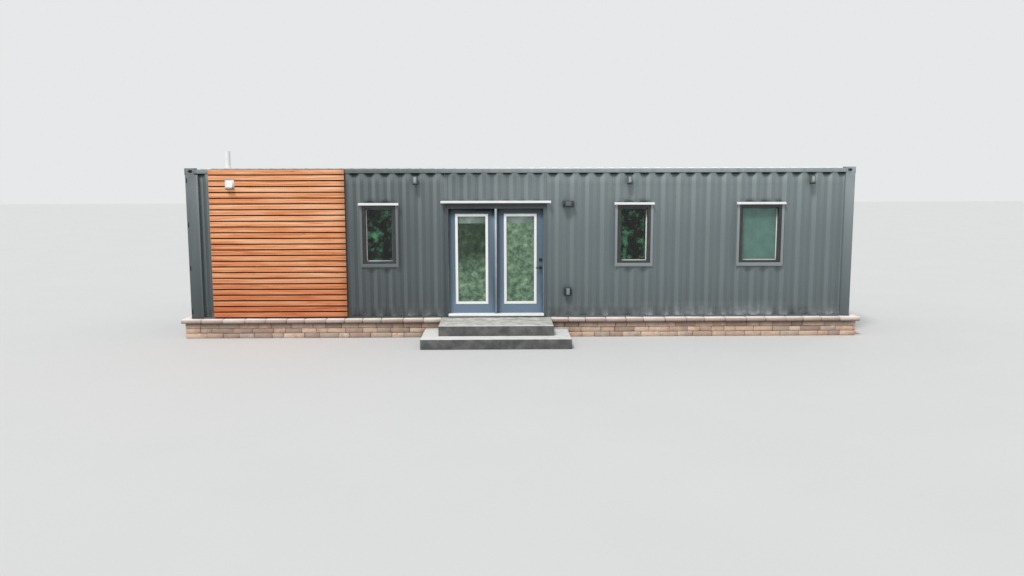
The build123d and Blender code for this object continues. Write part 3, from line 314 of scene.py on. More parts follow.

# The door enamel, its seals and the vent hood take their colour by height like the container paint:
# the door leaves darken upwards, most under the head, as a painted shade; the seals are pale as far
# as the middle of the doors' height, and darker left of the middle post; the hood is white, painted
# darker at its foot as the shade on its lower flap, and greyer at its top edge
door_heights, hood_heights = (0.436, 2.369), (2.72, 2.914)
# Painted shade darkens the hood's foot, where its lower flap is; its top edge is greyer
hood_stops = [(0.0, "#6b6658"), (0.12, "#8f8b7c"), (0.22, "#bcb8ac"), (0.27, "#ece9e5"), (0.84, "#efedea"),
              (0.88, "#b5b0a4"), (1.0, "#9d998c")]
seal_stops = [(0.0, "#f0f2f1"), (0.40, "#e2e5e3"), (0.50, "#8f9593"), (1.0, "#6d7371")]
seal_along = [(0.45, 0.5), (0.5, 1.0)]
even = [(0.0, 1.0), (1.0, 1.0)]
# Painted shade: the leaves darken upwards, most under the head
door_stops = [(0.0, "#74899e"), (0.09, "#70859a"), (0.20, "#667b8b"), (0.88, "#627686"), (0.92, "#5b6f7e"),
              (0.945, "#45535e"), (0.975, "#2b363e")]
for slot, name, stops, heights, streak, roughness, along in (
        ("jamb_vinyl", "weather_strip", seal_stops, door_heights, 0.04, 0.5, seal_along),
        ("blue_door_paint", "door_enamel", door_stops, door_heights, 0.02, 0.42, even),
        ("hood_plastic", "white_polypropylene_hood", hood_stops, hood_heights, 0.05, 0.45, even)):
    finish[slot] = container_enamel(name, stops, heights, streak, roughness, along=along)
print(len(coats), "coated finishes")

# %% [markdown]
# ## Window glass
# A sealed pane is clear, but what lies behind it is dim, so by day it reads as a dark green mirror.
# Refracting glass would keep the light out of the room, because light that is bent is slow to
# trace, so the pane is partly see-through instead: its Fresnel reflection makes it more of a mirror
# the flatter it is seen. Float glass has an IOR of 1.52 and its iron gives the green. The paler
# green clouds in the rest of its own colour are a painted reflection; the door panes carry more of
# that painted reflection, less of it high on the leaf that stays shut, and the wide window's pane
# takes an even pale green.


# %% Window glass
glass_ior = 1.52


def sealed_pane(name, stops, share, cloud, high=1.0, overlay=None):
    """Partly see-through glass: share is the least and most of its own colour, cloud the patches a metre.

    Its own colour is in part a painted reflection. high is what is left of the own colour at the top
    of the left door pane, so that it reads darker there. overlay is (from X, colour) of a second, even
    colour: right of that X the pane has its colour, and at least 0.55 of it.
    """
    material, tree, shader, place = new_finish(name, 0.03, ior=glass_ior)
    mirror = add(tree, "Fresnel", {"IOR": glass_ior})
    pane_clouds = add(tree, "TexNoise", {"Vector": place, "Scale": cloud, "Detail": 6.0, "Roughness": 0.7})
    own = add(tree, "MapRange", (pane_clouds, 0.35, 0.65, *share))
    colour = add(tree, "ValToRGB", (pane_clouds,), stops)
    at = add(tree, "SeparateXYZ", (place,)).outputs
    # Painted reflection: less of the pane's own colour high on the left door pane, which reads darker there
    if high < 1.0:
        up = add(tree, "MapRange", (at["Z"], 1.15, 1.55))
        left = add(tree, "MapRange", (at["X"], -0.4, -0.6))
        there = add(tree, "Math", (up, left), operation="MULTIPLY")
        thin = add(tree, "MapRange", (there, 0.0, 1.0, 1.0, high))
        own = add(tree, "Math", (own, thin), operation="MULTIPLY")
    if overlay:
        from_x, overlay_colour = overlay
        here = add(tree, "MapRange", (at["X"], from_x, from_x + 50 * mm))
        colour = add(tree, "Mix", {0: here, 6: colour, 7: overlay_colour}, data_type="RGBA")
        least = add(tree, "MapRange", (here, 0.0, 1.0, 0.0, 0.55))
        own = add(tree, "Math", (own, least), operation="MAXIMUM")
    alpha = add(tree, "Math", (own, mirror), operation="ADD", use_clamp=True)
    fill(shader, {"Base Color": colour, "Alpha": alpha})
    return material


# Dark green of the glass, with paler green clouds that are a painted reflection; the door panes' tones below
# are a painted reflection as well
green = [(0.38, "#020806"), (0.50, "#081d11"), (0.64, "#54966b")]
door_pane_tones = [(0.30, "#3d5a45"), (0.45, "#62826a"), (0.55, "#7a9a7c"), (0.68, "#a9c09e")]
# Right of X 3.4, over the wide window, the pane takes an even pale green
finish["window_glass"] = sealed_pane("float_glass", green, (0.58, 0.78), 5.0, overlay=(3.4, "#6c9287"))
finish["door_glass"] = sealed_pane("sealed_unit_painted_reflection", door_pane_tones, (0.64, 0.80), 9.0, high=0.22)
print("glass made")

# %% [markdown]
# ## Timber: cedar boards, battens and the plywood floor
# Cedar is sawn along the trunk, so its rings show as long wavering lines along each board, here
# every 4 to 8 mm, and branches show as small dark knots. Every board comes from another tree, so
# each has its own tone, written on its faces as the attribute "tone", and that number also moves the
# pattern, so that no two boards match. The oil keeps the faces bright orange. The edges between the
# boards are made dark, partly the darker sawn grain and partly a painted shade of the gaps, and the
# lower boards are darker and redder.


# %% Timber finishes
def sawn_timber(name, stops, knots=True, grain=150.0, along=2.5, roughness=0.6, per_board=True):
    """Long noise along X for grain, a slower one for rings, small knots; edges and low boards darken."""
    material, tree, shader, place = new_finish(name, roughness, ior=1.48)
    vector = place
    if per_board:
        tone = add(tree, "Attribute", attribute_name="tone").outputs["Fac"]
        jump = add(tree, "VectorMath", {0: (17.0, 5.0, 11.0), "Scale": tone}, operation="SCALE")
        vector = add(tree, "VectorMath", (place, jump), operation="ADD")
    drawn = add(tree, "Mapping", {"Vector": vector, "Scale": (along, grain, grain)})
    lines = add(tree, "TexNoise", {"Vector": drawn, "Scale": 1.0, "Detail": 4.0, "Roughness": 0.6,
                                   "Distortion": 0.4})
    broad = add(tree, "Mapping", {"Vector": vector, "Scale": (0.9, 22.0, 22.0)})
    bands = add(tree, "TexNoise", {"Vector": broad, "Scale": 1.0, "Detail": 3.0, "Distortion": 0.8})
    mix = add(tree, "Math", (lines, 0.45), operation="MULTIPLY")
    mix = add(tree, "Math", (bands, 0.55, mix), operation="MULTIPLY_ADD")
    if per_board:
        mix = add(tree, "Math", (tone, 0.09, mix), operation="MULTIPLY_ADD")
        mix = add(tree, "Math", (mix, 0.045), operation="SUBTRACT")
    colour = add(tree, "ValToRGB", (mix,), stops)
    if knots:
        spread = add(tree, "Mapping", {"Vector": vector, "Scale": (2.2, 15.0, 15.0)})
        cell = add(tree, "TexVoronoi", {"Vector": spread, "Scale": 1.0})
        core = add(tree, "MapRange", (cell, 0.03, 0.09, 0.7, 0.0))
        colour = add(tree, "Mix", {0: core, 6: colour, 7: "#6b2f1a"}, data_type="RGBA")
    if per_board:
        # Painted shade and grain: faces that look up or down, the board edges in the gaps, are made dark
        # brown
        turn = add(tree, "SeparateXYZ", (add(tree, "NewGeometry").outputs["Normal"],)).outputs
        edge = add(tree, "Math", (turn["Z"],), operation="ABSOLUTE")
        dark = add(tree, "MapRange", (edge, 0.3, 0.7, 0.0, 0.95))
        colour = add(tree, "Mix", {0: dark, 6: colour, 7: "#421204"}, data_type="RGBA")
        # Darker and redder towards the foot of the boards
        height = add(tree, "SeparateXYZ", (place,)).outputs["Z"]
        low_tones = [(0.0, "#dab9a6"), (0.12, "#e2c8b8"), (0.30, "#f0e2d9"), (0.45, "#fcf9f7"), (0.9, "#ffffff")]
        darkening = add(tree, "ValToRGB", (add(tree, "MapRange", (height, 0.3, 3.1)),), low_tones)
        colour = add(tree, "Mix", {0: 1.0, 6: colour, 7: darkening}, data_type="RGBA", blend_type="MULTIPLY")
    bump = add(tree, "Bump", {"Height": lines, "Distance": 0.8 * mm, "Strength": 0.5})
    fill(shader, {"Base Color": colour, "Normal": bump})
    return material


cedar_stops = [(0.30, "#bb643b"), (0.41, "#df8851"), (0.49, "#f0a270"), (0.57, "#fab98b"), (0.68, "#ffd5b1")]
batten_stops = [(0.3, "#3a2a1f"), (0.7, "#54402f")]
plywood_stops = [(0.3, "#9d7a52"), (0.7, "#b8946a")]
finish["cedar"] = sawn_timber("oiled_cedar", cedar_stops)
finish["batten_wood"] = sawn_timber("sawn_softwood", batten_stops, False, 120.0, 3.0, 0.8, False)
finish["plywood"] = sawn_timber("sealed_plywood", plywood_stops, False, 60.0, 2.0, 0.5, False)
print("timber finishes", len(finish))

# %% [markdown]
# ## Stone and concrete
# The skirt is of split blocks, cast from coloured concrete and broken so that their faces are
# rough, in mixed buffs, pinks and greys; the capping stones are the same mix, tumbled until their
# edges wear. The steps are float finished concrete: nearly even, with soft cloudy patches and a few
# pinholes, dark on their fronts. All are grains of sand and cement, so the same recipe gives a tone
# per stone, clouds, sand specks and a rough height. Every upward face is made paler, partly settled
# dust and partly painted light from above, so the normal's Z decides how much of it there is. The
# top course under the caps and the foot of the caps' faces are darkened as a painted shade.


# %% Stone finishes
def cast_stone(name, stops, dust_and_painted_light, top_share=0.7, speck=0.35, rough_depth=3.0, patch=9.0, per_stone=True,
               noses=(), foot=None):
    """Ramp colour from the stone's tone plus clouds; specks darken it; upward faces take paler colours.

    dust_and_painted_light is the ramp of those paler colours over the cloud noise: partly dust, partly
    painted light from above. Each nose is (front Y, reach, low Z, high Z, share): within reach of that
    front, between those heights, the top is made pale: painted light, and at a nosing also wear. foot is
    (low Z, high Z): the colour is darkened most at the first and not at all at the second, a painted
    shade under an edge.
    """
    material, tree, shader, place = new_finish(name, 0.88, ior=1.5)
    cloud = add(tree, "TexNoise", {"Vector": place, "Scale": patch, "Detail": 5.0, "Roughness": 0.6})
    level = cloud
    if per_stone:
        tone = add(tree, "Attribute", attribute_name="tone").outputs["Fac"]
        level = add(tree, "Math", (cloud, 0.6, -0.3), operation="MULTIPLY_ADD")
        level = add(tree, "Math", (level, tone), operation="ADD")
    colour = add(tree, "ValToRGB", (level,), stops)
    sand = add(tree, "TexNoise", {"Vector": place, "Scale": 90.0, "Detail": 4.0, "Roughness": 0.75})
    dark = add(tree, "MapRange", (sand, 0.3, 0.55, speck, 0.0))
    colour = add(tree, "Mix", {0: dark, 6: colour, 7: "#3b3633"}, data_type="RGBA")
    top_colour = add(tree, "ValToRGB", (cloud,), dust_and_painted_light)
    at = add(tree, "SeparateXYZ", (place,)).outputs
    # Painted light: the tops near each front are made pale; on the upper nosing this is also wear
    for front, reach, low_z, high_z, worn in noses:
        here = add(tree, "MapRange", (at["Y"], front + reach, front + reach - 30 * mm, 0.0, worn))
        over = add(tree, "Math", (at["Z"], low_z), operation="GREATER_THAN")
        under = add(tree, "Math", (at["Z"], high_z), operation="LESS_THAN")
        here = add(tree, "Math", (here, over), operation="MULTIPLY")
        here = add(tree, "Math", (here, under), operation="MULTIPLY")
        top_colour = add(tree, "Mix", {0: here, 6: top_colour, 7: "#f2f3f2"}, data_type="RGBA")
    # Painted light and dust: upward faces take the paler colours
    turn = add(tree, "SeparateXYZ", (add(tree, "NewGeometry").outputs["Normal"],)).outputs
    lying = add(tree, "MapRange", (turn["Z"], 0.25, 0.85, 0.0, top_share))
    colour = add(tree, "Mix", {0: lying, 6: colour, 7: top_colour}, data_type="RGBA")
    # Painted shade: darkest at the first height of foot, as under an overhanging edge
    if foot:
        darkening = add(tree, "MapRange", (at["Z"], *foot, 0.75, 0.0))
        colour = add(tree, "Mix", {0: darkening, 6: colour, 7: "#4c3f38"}, data_type="RGBA")
    coarse = add(tree, "TexNoise", {"Vector": place, "Scale": 38.0, "Detail": 6.0, "Roughness": 0.65})
    bump = add(tree, "Bump", {"Height": coarse, "Distance": rough_depth * mm, "Strength": 0.9})
    fill(shader, {"Base Color": colour, "Normal": bump})
    return material


block_stops = [(0.0, "#b0978a"), (0.2, "#c9ab97"), (0.38, "#e6c6ae"), (0.52, "#cbb6a2"), (0.68, "#bdaa9d"),
               (0.84, "#ebd0ba"), (1.0, "#d0a68f")]
# Paler colours for upward faces, here and below: partly dust, partly painted light from above
block_tops = [(0.4, "#cdbfae"), (0.6, "#c6b8a8")]
cap_tones = [(0.0, "#bba398"), (0.35, "#cdb6ab"), (0.7, "#c3b2a8"), (1.0, "#dccdc2")]
cap_tops = [(0.4, "#fdf1ec"), (0.6, "#f3e6df")]
step_stops = [(0.35, "#4f5150"), (0.5, "#5e5f5e"), (0.65, "#727372")]
step_tops = [(0.36, "#a9a79f"), (0.48, "#bdbcb7"), (0.62, "#d2d2cf")]
lower_front, upper_front = (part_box(node)[0].y for node in ("lower_step", "upper_step"))
# The whole top of the lower step is painted pale as painted light, but only the nosing of the upper one,
# where it is also wear
step_noses = [(lower_front, 1.0, 0.0, 0.2, 0.62), (upper_front, 0.075, 0.3, 0.4, 0.45)]
# foot paints shade: on the top course of blocks under the caps, and on the lower part of the caps' faces
finish["skirt_block"] = cast_stone("split_concrete_block", block_stops, block_tops, 0.5, 0.55, 6.0,
                                   foot=(0.285, 0.2))
finish["cap_stone"] = cast_stone("tumbled_capping_stone", cap_tones, cap_tops, 0.9, 0.35, 3.0,
                                 foot=(0.282, 0.322))
finish["concrete"] = cast_stone("floated_concrete", step_stops, step_tops, 0.97, 0.3, 1.2, 6.0, False,
                                step_noses)
print("stone finishes", len(finish))

# %% [markdown]
# ## Pieces from arrays
# New pieces are made in one way: numpy works out all their points at once, a mesh takes them, the
# piece is tied to the body it rides on and takes the finish of its slot, and the solids it stands
# for are hidden. A grid of points needs only its two counts to know its faces.


# %% Helpers for pieces
scene = bpy.context.scene


def placed(x, y, z):
    """Points from three arrays of coordinates, spread to the shape they have in common."""
    return np.stack(np.broadcast_arrays(x, y, z), -1).reshape(-1, 3)


def grid_faces(rows, columns, around=False):
    """Quads of a grid whose points are numbered row by row; around joins the last column to the first."""
    i, j = np.meshgrid(np.arange(rows - 1), np.arange(columns if around else columns - 1), indexing="ij")
    right = (j + 1) % columns
    corners = [i * columns + j, i * columns + right, (i + 1) * columns + right, (i + 1) * columns + j]
    return np.stack(corners, -1).reshape(-1, 4)


def tie(piece, slot, body="cabin", stands_for=(), finish_name=None):
    """Finish, body, slot and the solids that the piece stands for."""
    piece.data.materials.clear()
    piece.data.materials.append(finish[finish_name or slot])
    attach(piece, body)
    if stands_for:
        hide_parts(*stands_for)
    return piece


def set_down(name, points, faces, slot, body="cabin", stands_for=(), finish_name=None, smooth=True,
             tones=None):
    """Makes the object from its arrays, gives it the finish of its slot, ties it to its body and hides the
    solids it stands for.
    """
    mesh = bpy.data.meshes.new(name)
    mesh.from_pydata(np.asarray(points, float).tolist(), [], [list(map(int, f)) for f in faces])
    mesh.polygons.foreach_set("use_smooth", np.full(len(mesh.polygons), smooth))
    if tones is not None:
        mesh.attributes.new("tone", "FLOAT", "FACE").data.foreach_set("value", np.asarray(tones, np.float32))
    mesh.update()
    piece = bpy.data.objects.new(name, mesh)
    scene.collection.objects.link(piece)
    return tie(piece, slot, body, stands_for, finish_name)


def thicken(piece, thickness, offset=-1.0):
    """Gives a sheet its thickness, inwards from the surface that was drawn."""
    shell = piece.modifiers.new("sheet", "SOLIDIFY")
    shell.thickness = thickness
    shell.offset = offset
    return piece


def softened(node, width, segments=2, finish_name=None):
    """A copy of a solid, doubles merged and flat faces joined, its sharp edges rounded to width metres."""
    mesh = nodes[node].data.copy()
    mesh.name = node + "_soft"
    shape = bmesh.new()
    shape.from_mesh(mesh)
    bmesh.ops.remove_doubles(shape, verts=shape.verts, dist=0.02 * mm)
    bmesh.ops.dissolve_limit(shape, angle_limit=math.radians(0.3), verts=shape.verts, edges=shape.edges)
    shape.to_mesh(mesh)
    shape.free()
    mesh.polygons.foreach_set("use_smooth", np.full(len(mesh.polygons), True))
    piece = bpy.data.objects.new(node + "_soft", mesh)
    scene.collection.objects.link(piece)
    edge = piece.modifiers.new("edge", "BEVEL")
    edge.width = width
    edge.segments = segments
    edge.limit_method = "ANGLE"
    edge.angle_limit = math.radians(25)
    edge.harden_normals = True
    return tie(piece, slot_of[node], nodes[node]["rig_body"], [node], finish_name)


print("piece helpers ready")

# %% [markdown]
# ## Folded steel walls
# A container's wall is one skin of 2 mm steel, pressed into upright folds that make it stiff. A
# press cannot make a knife edge, so every bend is an arc of about 10 mm. The line of the folds is a
# row of corners; each corner is swapped for a small curve between the two straights, and the line
# is carried up the wall. Coils are joined by a weld every four folds, and long flats spring in by
# a millimetre. Windows are cut where the grid has lines at their edges, so they end clean.
# In the photograph the dark marks under the top rail show where the folds of the front go in, and
# that is half a pitch from where the plain solids have them, so the front sheets start half a pitch
# to the left. The lamps and the outlet then sit over hollows, each on a block that fills it.


# %% Folded line and wall sheets
def fold_corners(end, first, crest, slope, valley, depth):
    """Corners (along, in) of the folds: crest at 0, slope to depth, valley, slope back, from first on."""
    pitch = crest + valley + 2 * slope
    turns = np.arange(-2, int((end - first) / pitch) + 3)[:, None]
    along = first + turns * pitch + np.array([0, crest, crest + slope, crest + slope + valley])
    inward = np.broadcast_to(np.array([0, 0, depth, depth]), along.shape)
    return along.ravel(), inward.ravel()


def bent_line(along, inward, bend, steps=4):
    """Swaps each corner for a quadratic curve that leaves and meets the straights at bend from it."""
    corner = np.stack([along, inward], -1)
    ahead = np.diff(corner, axis=0)
    ahead /= np.linalg.norm(ahead, axis=1, keepdims=True)
    a, b, c = corner[1:-1] - bend * ahead[:-1], corner[1:-1], corner[1:-1] + bend * ahead[1:]
    t = np.linspace(0, 1, steps + 1)[None, :, None]
    curve = (1 - t) ** 2 * a[:, None] + 2 * t * (1 - t) * b[:, None] + t ** 2 * c[:, None]
    return curve[..., 0].ravel(), curve[..., 1].ravel()


def wall_sheet(start, end, first, shape, bend, bottom, top, holes=(), rows=13, weld=0.0):
    """Grid of (along, in, up): the bent line over the run, rows up the wall, no faces in the holes."""
    line_at, line_in = bent_line(*fold_corners(end, first, *shape), bend)
    extra = [start, end] + [edge for hole in holes for edge in hole[:2]]
    if weld:
        seams = np.arange(first + weld / 2, end, weld)
        seams = seams[seams > start]
        extra += (seams[:, None] + np.array([-3, 0, 3]) * mm).ravel().tolist()
    at = np.unique(np.round(np.concatenate([line_at[(line_at > start) & (line_at < end)], extra]), 5))
    at = at[(at >= start) & (at <= end)]
    depth = np.interp(at, line_at, line_in)
    if weld:
        depth -= 1.2 * mm * np.isin(at, np.round(seams, 5))
    levels = np.concatenate([np.linspace(bottom, top, rows), [edge for hole in holes for edge in hole[2:]]])
    grid_at, grid_up = np.meshgrid(at, np.unique(np.round(levels, 5)))
    rise = np.sin(np.pi * (grid_up - bottom) / (top - bottom))
    wave = np.sin(grid_at * 2.7 + 1.0) * np.sin(grid_up * 2.1 + grid_at)
    wave = wave + 0.6 * np.sin(grid_at * 7.3 + grid_up * 3.4)
    grid_in = depth[None, :] + mm * rise * (1.2 + wave) / 2
    faces = grid_faces(*grid_at.shape)
    middle_at = grid_at.ravel()[faces].mean(1)
    middle_up = grid_up.ravel()[faces].mean(1)
    keep = np.ones(len(faces), bool)
    for left, right, low, high in holes:
        keep &= ~((middle_at > left) & (middle_at < right) & (middle_up > low) & (middle_up < high))
    return grid_at.ravel(), grid_in.ravel(), grid_up.ravel(), faces[keep]


def hang(name, node, x, y, z, faces, coat="wall_enamel"):
    """Sets down a sheet of 2 mm steel for its solid, without the points that no face uses."""
    used, numbers = np.unique(faces, return_inverse=True)
    sheet = set_down(name, placed(x, y, z)[used], numbers.reshape(faces.shape), "container_paint",
                     stands_for=[node], finish_name=coat)
    print(name, len(faces), "faces")
    return thicken(sheet, 2 * mm)


side_shape = (72 * mm, 68 * mm, 70 * mm, 36 * mm)  # crest, slope and valley along the wall, depth
side_pitch = side_shape[0] + side_shape[2] + 2 * side_shape[1]
side_bend, end_bend = 10 * mm, 7 * mm
crest_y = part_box("front_wall_left")[0].y
side_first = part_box("back_wall")[0].x + 5 * mm
front_first = side_first - side_pitch / 2
window_centres = (-2.610, 2.057, 4.381)
window_widths = (0.610, 0.610, 0.775)
window_low, window_high = (corner.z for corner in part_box("window_frames"))
window_holes = [(centre - width / 2, centre + width / 2, window_low, window_high)
                for centre, width in zip(window_centres, window_widths)]
for node in ("front_wall_left", "front_wall_over_door", "front_wall_right"):
    low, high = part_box(node)
    holes = [hole for hole in window_holes if low.x < hole[0] < high.x]
    at, inward, up, faces = wall_sheet(low.x, high.x, front_first, side_shape, side_bend, low.z, high.z,
                                       holes, weld=4 * side_pitch)
    hang(node + "_sheet", node, at, crest_y + inward, up, faces)

low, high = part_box("back_wall")
at, inward, up, faces = wall_sheet(low.x, high.x, side_first, side_shape, side_bend, low.z, high.z,
                                   weld=4 * side_pitch)
hang("back_wall_sheet", "back_wall", at, high.y - inward, up, faces[:, ::-1])

low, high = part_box("right_end_wall")
end_shape = (110 * mm, 18 * mm, 104 * mm, 45 * mm)
end_first = (low.y + high.y) / 2 - 1.055
at, inward, up, faces = wall_sheet(low.y, high.y, end_first, end_shape, end_bend, low.z, high.z)
hang("right_end_sheet", "right_end_wall", high.x - inward, at, up, faces)

# %% [markdown]
# ## Roof
# The roof is one welded skin as well, with shallow folds across it that shed rain. The dies press
# each fold only between the rails, so it ends in a short slope, and the sheet's edge lies flat on
# the rail where it is welded. The height is the fold line along the roof times a ramp across it,
# which is 0 up to 18 mm from the edge and 1 from 54 mm. The folds start 82 mm further on than in
# the plain solid, where the pale tips show over the rail in the photograph, and the first
# whole one comes after the end header. The tops of the folds are painted nearly white and the
# hollows darker: painted light and shade.

# %% Roof sheet
low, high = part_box("roof_panel")
roof_shape = (91 * mm, 13.5 * mm, 91 * mm, 20 * mm)
roof_first = -5.8975 + 82 * mm
roof_bend = 6 * mm
line_at, line_up = bent_line(*fold_corners(high.x, roof_first, *roof_shape), roof_bend)
inside = (line_at > low.x) & (line_at < high.x)
at = np.concatenate([[low.x], line_at[inside], [high.x]])
rise = np.interp(at, line_at, line_up) * (at > low.x + 90 * mm)
edge_steps = np.array([0.0, 16.0, 26.0, 34.0, 42.0, 50.0, 58.0]) * mm
inner = np.linspace(low.y + 0.35, high.y - 0.35, 4)
across = np.concatenate([low.y + edge_steps, inner, (high.y - edge_steps)[::-1]])
share = np.clip((np.minimum(across - low.y, high.y - across) - 18 * mm) / (36 * mm), 0, 1)
share = share * share * (3 - 2 * share)
grid_x, grid_y = np.meshgrid(at, across)
arch = np.sin(np.pi * (grid_y - low.y) / (high.y - low.y))
wave = 0.6 * mm * (1 + np.sin(grid_x * 1.7 + grid_y * 2.3)) * arch
top_z = low.z + 2 * mm + rise[None, :] * share[:, None]
grid_z = np.minimum(top_z + wave * (rise[None, :] < 10 * mm), high.z)
hang("roof_sheet", "roof_panel", grid_x, grid_y, grid_z, grid_faces(*grid_x.shape), "roof_enamel")

# %% [markdown]
# ## Frame steel: castings, posts and rails
# The castings are poured steel with well rounded edges; posts and rails are pressed or rolled, so
# their edges are arcs of a few millimetres. The solids have the right shape with sharp edges, so a
# copy of each is merged, its flat faces are joined, and a bevel rounds what is left.

# %% Rounded steelwork
for node, width, segments in (("top_castings", 7, 3), ("bottom_castings", 7, 3), ("corner_posts", 5, 2),
                              ("top_side_rails", 6, 2), ("bottom_side_rails", 4, 2), ("end_rails", 5, 2),
                              ("cargo_doors", 3, 2), ("cargo_hinge_straps", 4, 2), ("lock_rod_guides", 3, 2),
                              ("lock_levers", 5, 2)):
    softened(node, width * mm, segments)
softened("window_casings", 2 * mm, 2, "casing_enamel")
softened("door_frame", 2.5 * mm, 2, "door_trim_enamel")
print("rounded steelwork done")

# %% [markdown]
# ## Doors, windows and fixtures
# These are smaller and crisper: bent flashing, leaves and extruded frames have edges of 1.5 to
# 2.5 mm, and moulded or cast fixtures of 3 to 5 mm. They are rounded in the same way.

# %% Rounded joinery and fixtures
for node, width in (("window_frames", 2.5), ("window_sashes", 2), ("drip_caps", 1.5), ("door_leaf", 2),
                    ("fixed_leaf", 2), ("door_leaf_lite_frame", 2), ("fixed_leaf_lite_frame", 2),
                    ("door_threshold", 2), ("door_lever", 2), ("door_deadbolt", 2), ("vent_hood", 4),
                    ("wall_light", 5), ("outdoor_outlet", 5), ("down_lights", 3), ("roof_vent_boot", 4)):
    softened(node, width * mm)
print("rounded joinery done")

# %% [markdown]
# ## Concrete steps
# The two steps were cast in boxes of boards, and their nosings were run over with an edging tool
# while wet, so the top edges are rounded to 12 mm.

# %% Steps
for node in ("lower_step", "upper_step"):
    softened(node, 12 * mm, 3)
print("steps rounded")

# %% [markdown]
# ## Blocks and capping stones
# A dry laid skirt is three courses of blocks, each 93 mm high and 200 to 400 mm long, with broken
# joints, under a row of capping stones about 350 mm long. One block is a box with chamfered edges,
# 26 faces; each copy is stretched to its own size, and its corners are moved by a few millimetres,
# as tumbling and splitting leave them. A box's points are only signs and insets, so all blocks are
# worked out in one array: sign times (half size minus inset times chamfer).


# %% Block rows
def block_template():
    """Signs, inset flags and faces of a box with every edge cut: 24 points and 26 faces."""
    shape = bmesh.new()
    bmesh.ops.create_cube(shape, size=2.0)
    bmesh.ops.bevel(shape, geom=shape.edges[:], offset=0.2, segments=1, affect="EDGES", profile=0.5)
    shape.verts.index_update()
    co = np.array([v.co[:] for v in shape.verts])
    faces = [[v.index for v in f.verts] for f in shape.faces]
    shape.free()
    return np.sign(co), np.abs(co) < 0.99, faces


block_signs, block_insets, block_faces = block_template()


def blocks(low, high, chamfer, shake, rng):
    """Points, faces and tones of many boxes given by their low and high corners, (n, 3) each."""
    middle, half = (low + high) / 2, (high - low) / 2
    points = middle[:, None] + block_signs[None] * (half[:, None] - block_insets[None] * chamfer)
    corner_number = ((block_signs > 0) @ np.array([1, 2, 4])).astype(int)
    moves = rng.uniform(-1, 1, (len(low), 8, 3)) * shake
    points = points + moves[:, corner_number]
    count = len(block_signs)
    faces = [[i + turn * count for i in f] for turn in range(len(low)) for f in block_faces]
    tones = np.repeat(rng.uniform(0, 1, len(low)), len(block_faces))
    return points.reshape(-1, 3), faces, tones


def cut_run(start, end, shortest, longest, rng):
    """Edges of stones laid along a run: random lengths, then all stretched a little to end exactly."""
    steps = rng.uniform(shortest, longest, int((end - start) / shortest) + 2).cumsum()
    count = max(1, int(np.argmin(np.abs(steps - (end - start)))) + 1)
    edges = np.concatenate([[0], steps[:count]])
    return start + edges * (end - start) / edges[-1]


def laid(runs, levels, lengths, gap, chamfer, shake, rng):
    """Boxes for every run and course: a run is (start, end, side low, side high, along X or Y)."""
    lows, highs = [], []
    for bottom, top in levels:
        for start, end, near, far, along_x in runs:
            edges = cut_run(start, end, *lengths, rng)
            for corners, at, side, level in ((lows, edges[:-1] + gap / 2, near, bottom + gap / 2),
                                             (highs, edges[1:] - gap / 2, far, top - gap / 2)):
                corners.append(placed(at, side, level) if along_x else placed(side, at, level))
    return blocks(np.concatenate(lows), np.concatenate(highs), chamfer, shake, rng)


steps_low, steps_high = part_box("upper_step")
front_y, back_y = (corner.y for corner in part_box("bottom_castings"))


def skirt_runs(node_sides, node_ends, reach):
    """The runs of a skirt: front left of the steps, front right, back, and the two ends between them."""
    low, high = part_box(node_sides)
    end_low, end_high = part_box(node_ends)
    sides = [(low.x, steps_low.x, low.y, front_y, True), (steps_high.x, high.x, low.y, front_y, True),
             (low.x, high.x, back_y, high.y, True)]
    ends = [(end_low.y, end_high.y, end_low.x, end_low.x + reach, False),
            (end_low.y, end_high.y, end_high.x - reach, end_high.x, False)]
    return sides, ends


rng = np.random.default_rng(93)
edge_in = 3 * mm  # stones stay this far inside their solids, so that their shaken corners do too
joint = 6 * mm
course, cap_top = 93 * mm, 360 * mm
courses = [(number * course, (number + 1) * course) for number in range(3)]
for sides_node, ends_node, reach, levels, lengths, chamfer, shake in (
        ("skirt_sides", "skirt_ends", 90 * mm, courses, (0.2, 0.4), 7 * mm, 3 * mm),
        ("cap_sides", "cap_ends", 150 * mm, [(3 * course, cap_top)], (0.31, 0.40), 11 * mm, 3.5 * mm)):
    for node, runs in zip((sides_node, ends_node), skirt_runs(sides_node, ends_node, reach)):
        inset = [(s, e, n + edge_in, f - edge_in, x) for s, e, n, f, x in runs]
        points, faces, tones = laid(inset, levels, lengths, joint, chamfer, shake, rng)
        points = np.clip(points, *map(np.array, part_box(node)))
        set_down(node + "_stones", points, faces, slot_of[node], stands_for=[node], tones=tones)
        print(node, len(faces) // len(block_faces), "stones")

# %% [markdown]
# ## Cedar boards
# Twenty-six boards are screwed across five battens, one every 104 mm, with 20 mm between them. The
# edges are eased with a plane, and sawn cedar never stays quite straight. A board is its rounded
# outline carried along X: the outline is a function of one parameter, and the second runs along the
# board, where slow sines bow it by a millimetre or two. The ends are closed with the outline itself.

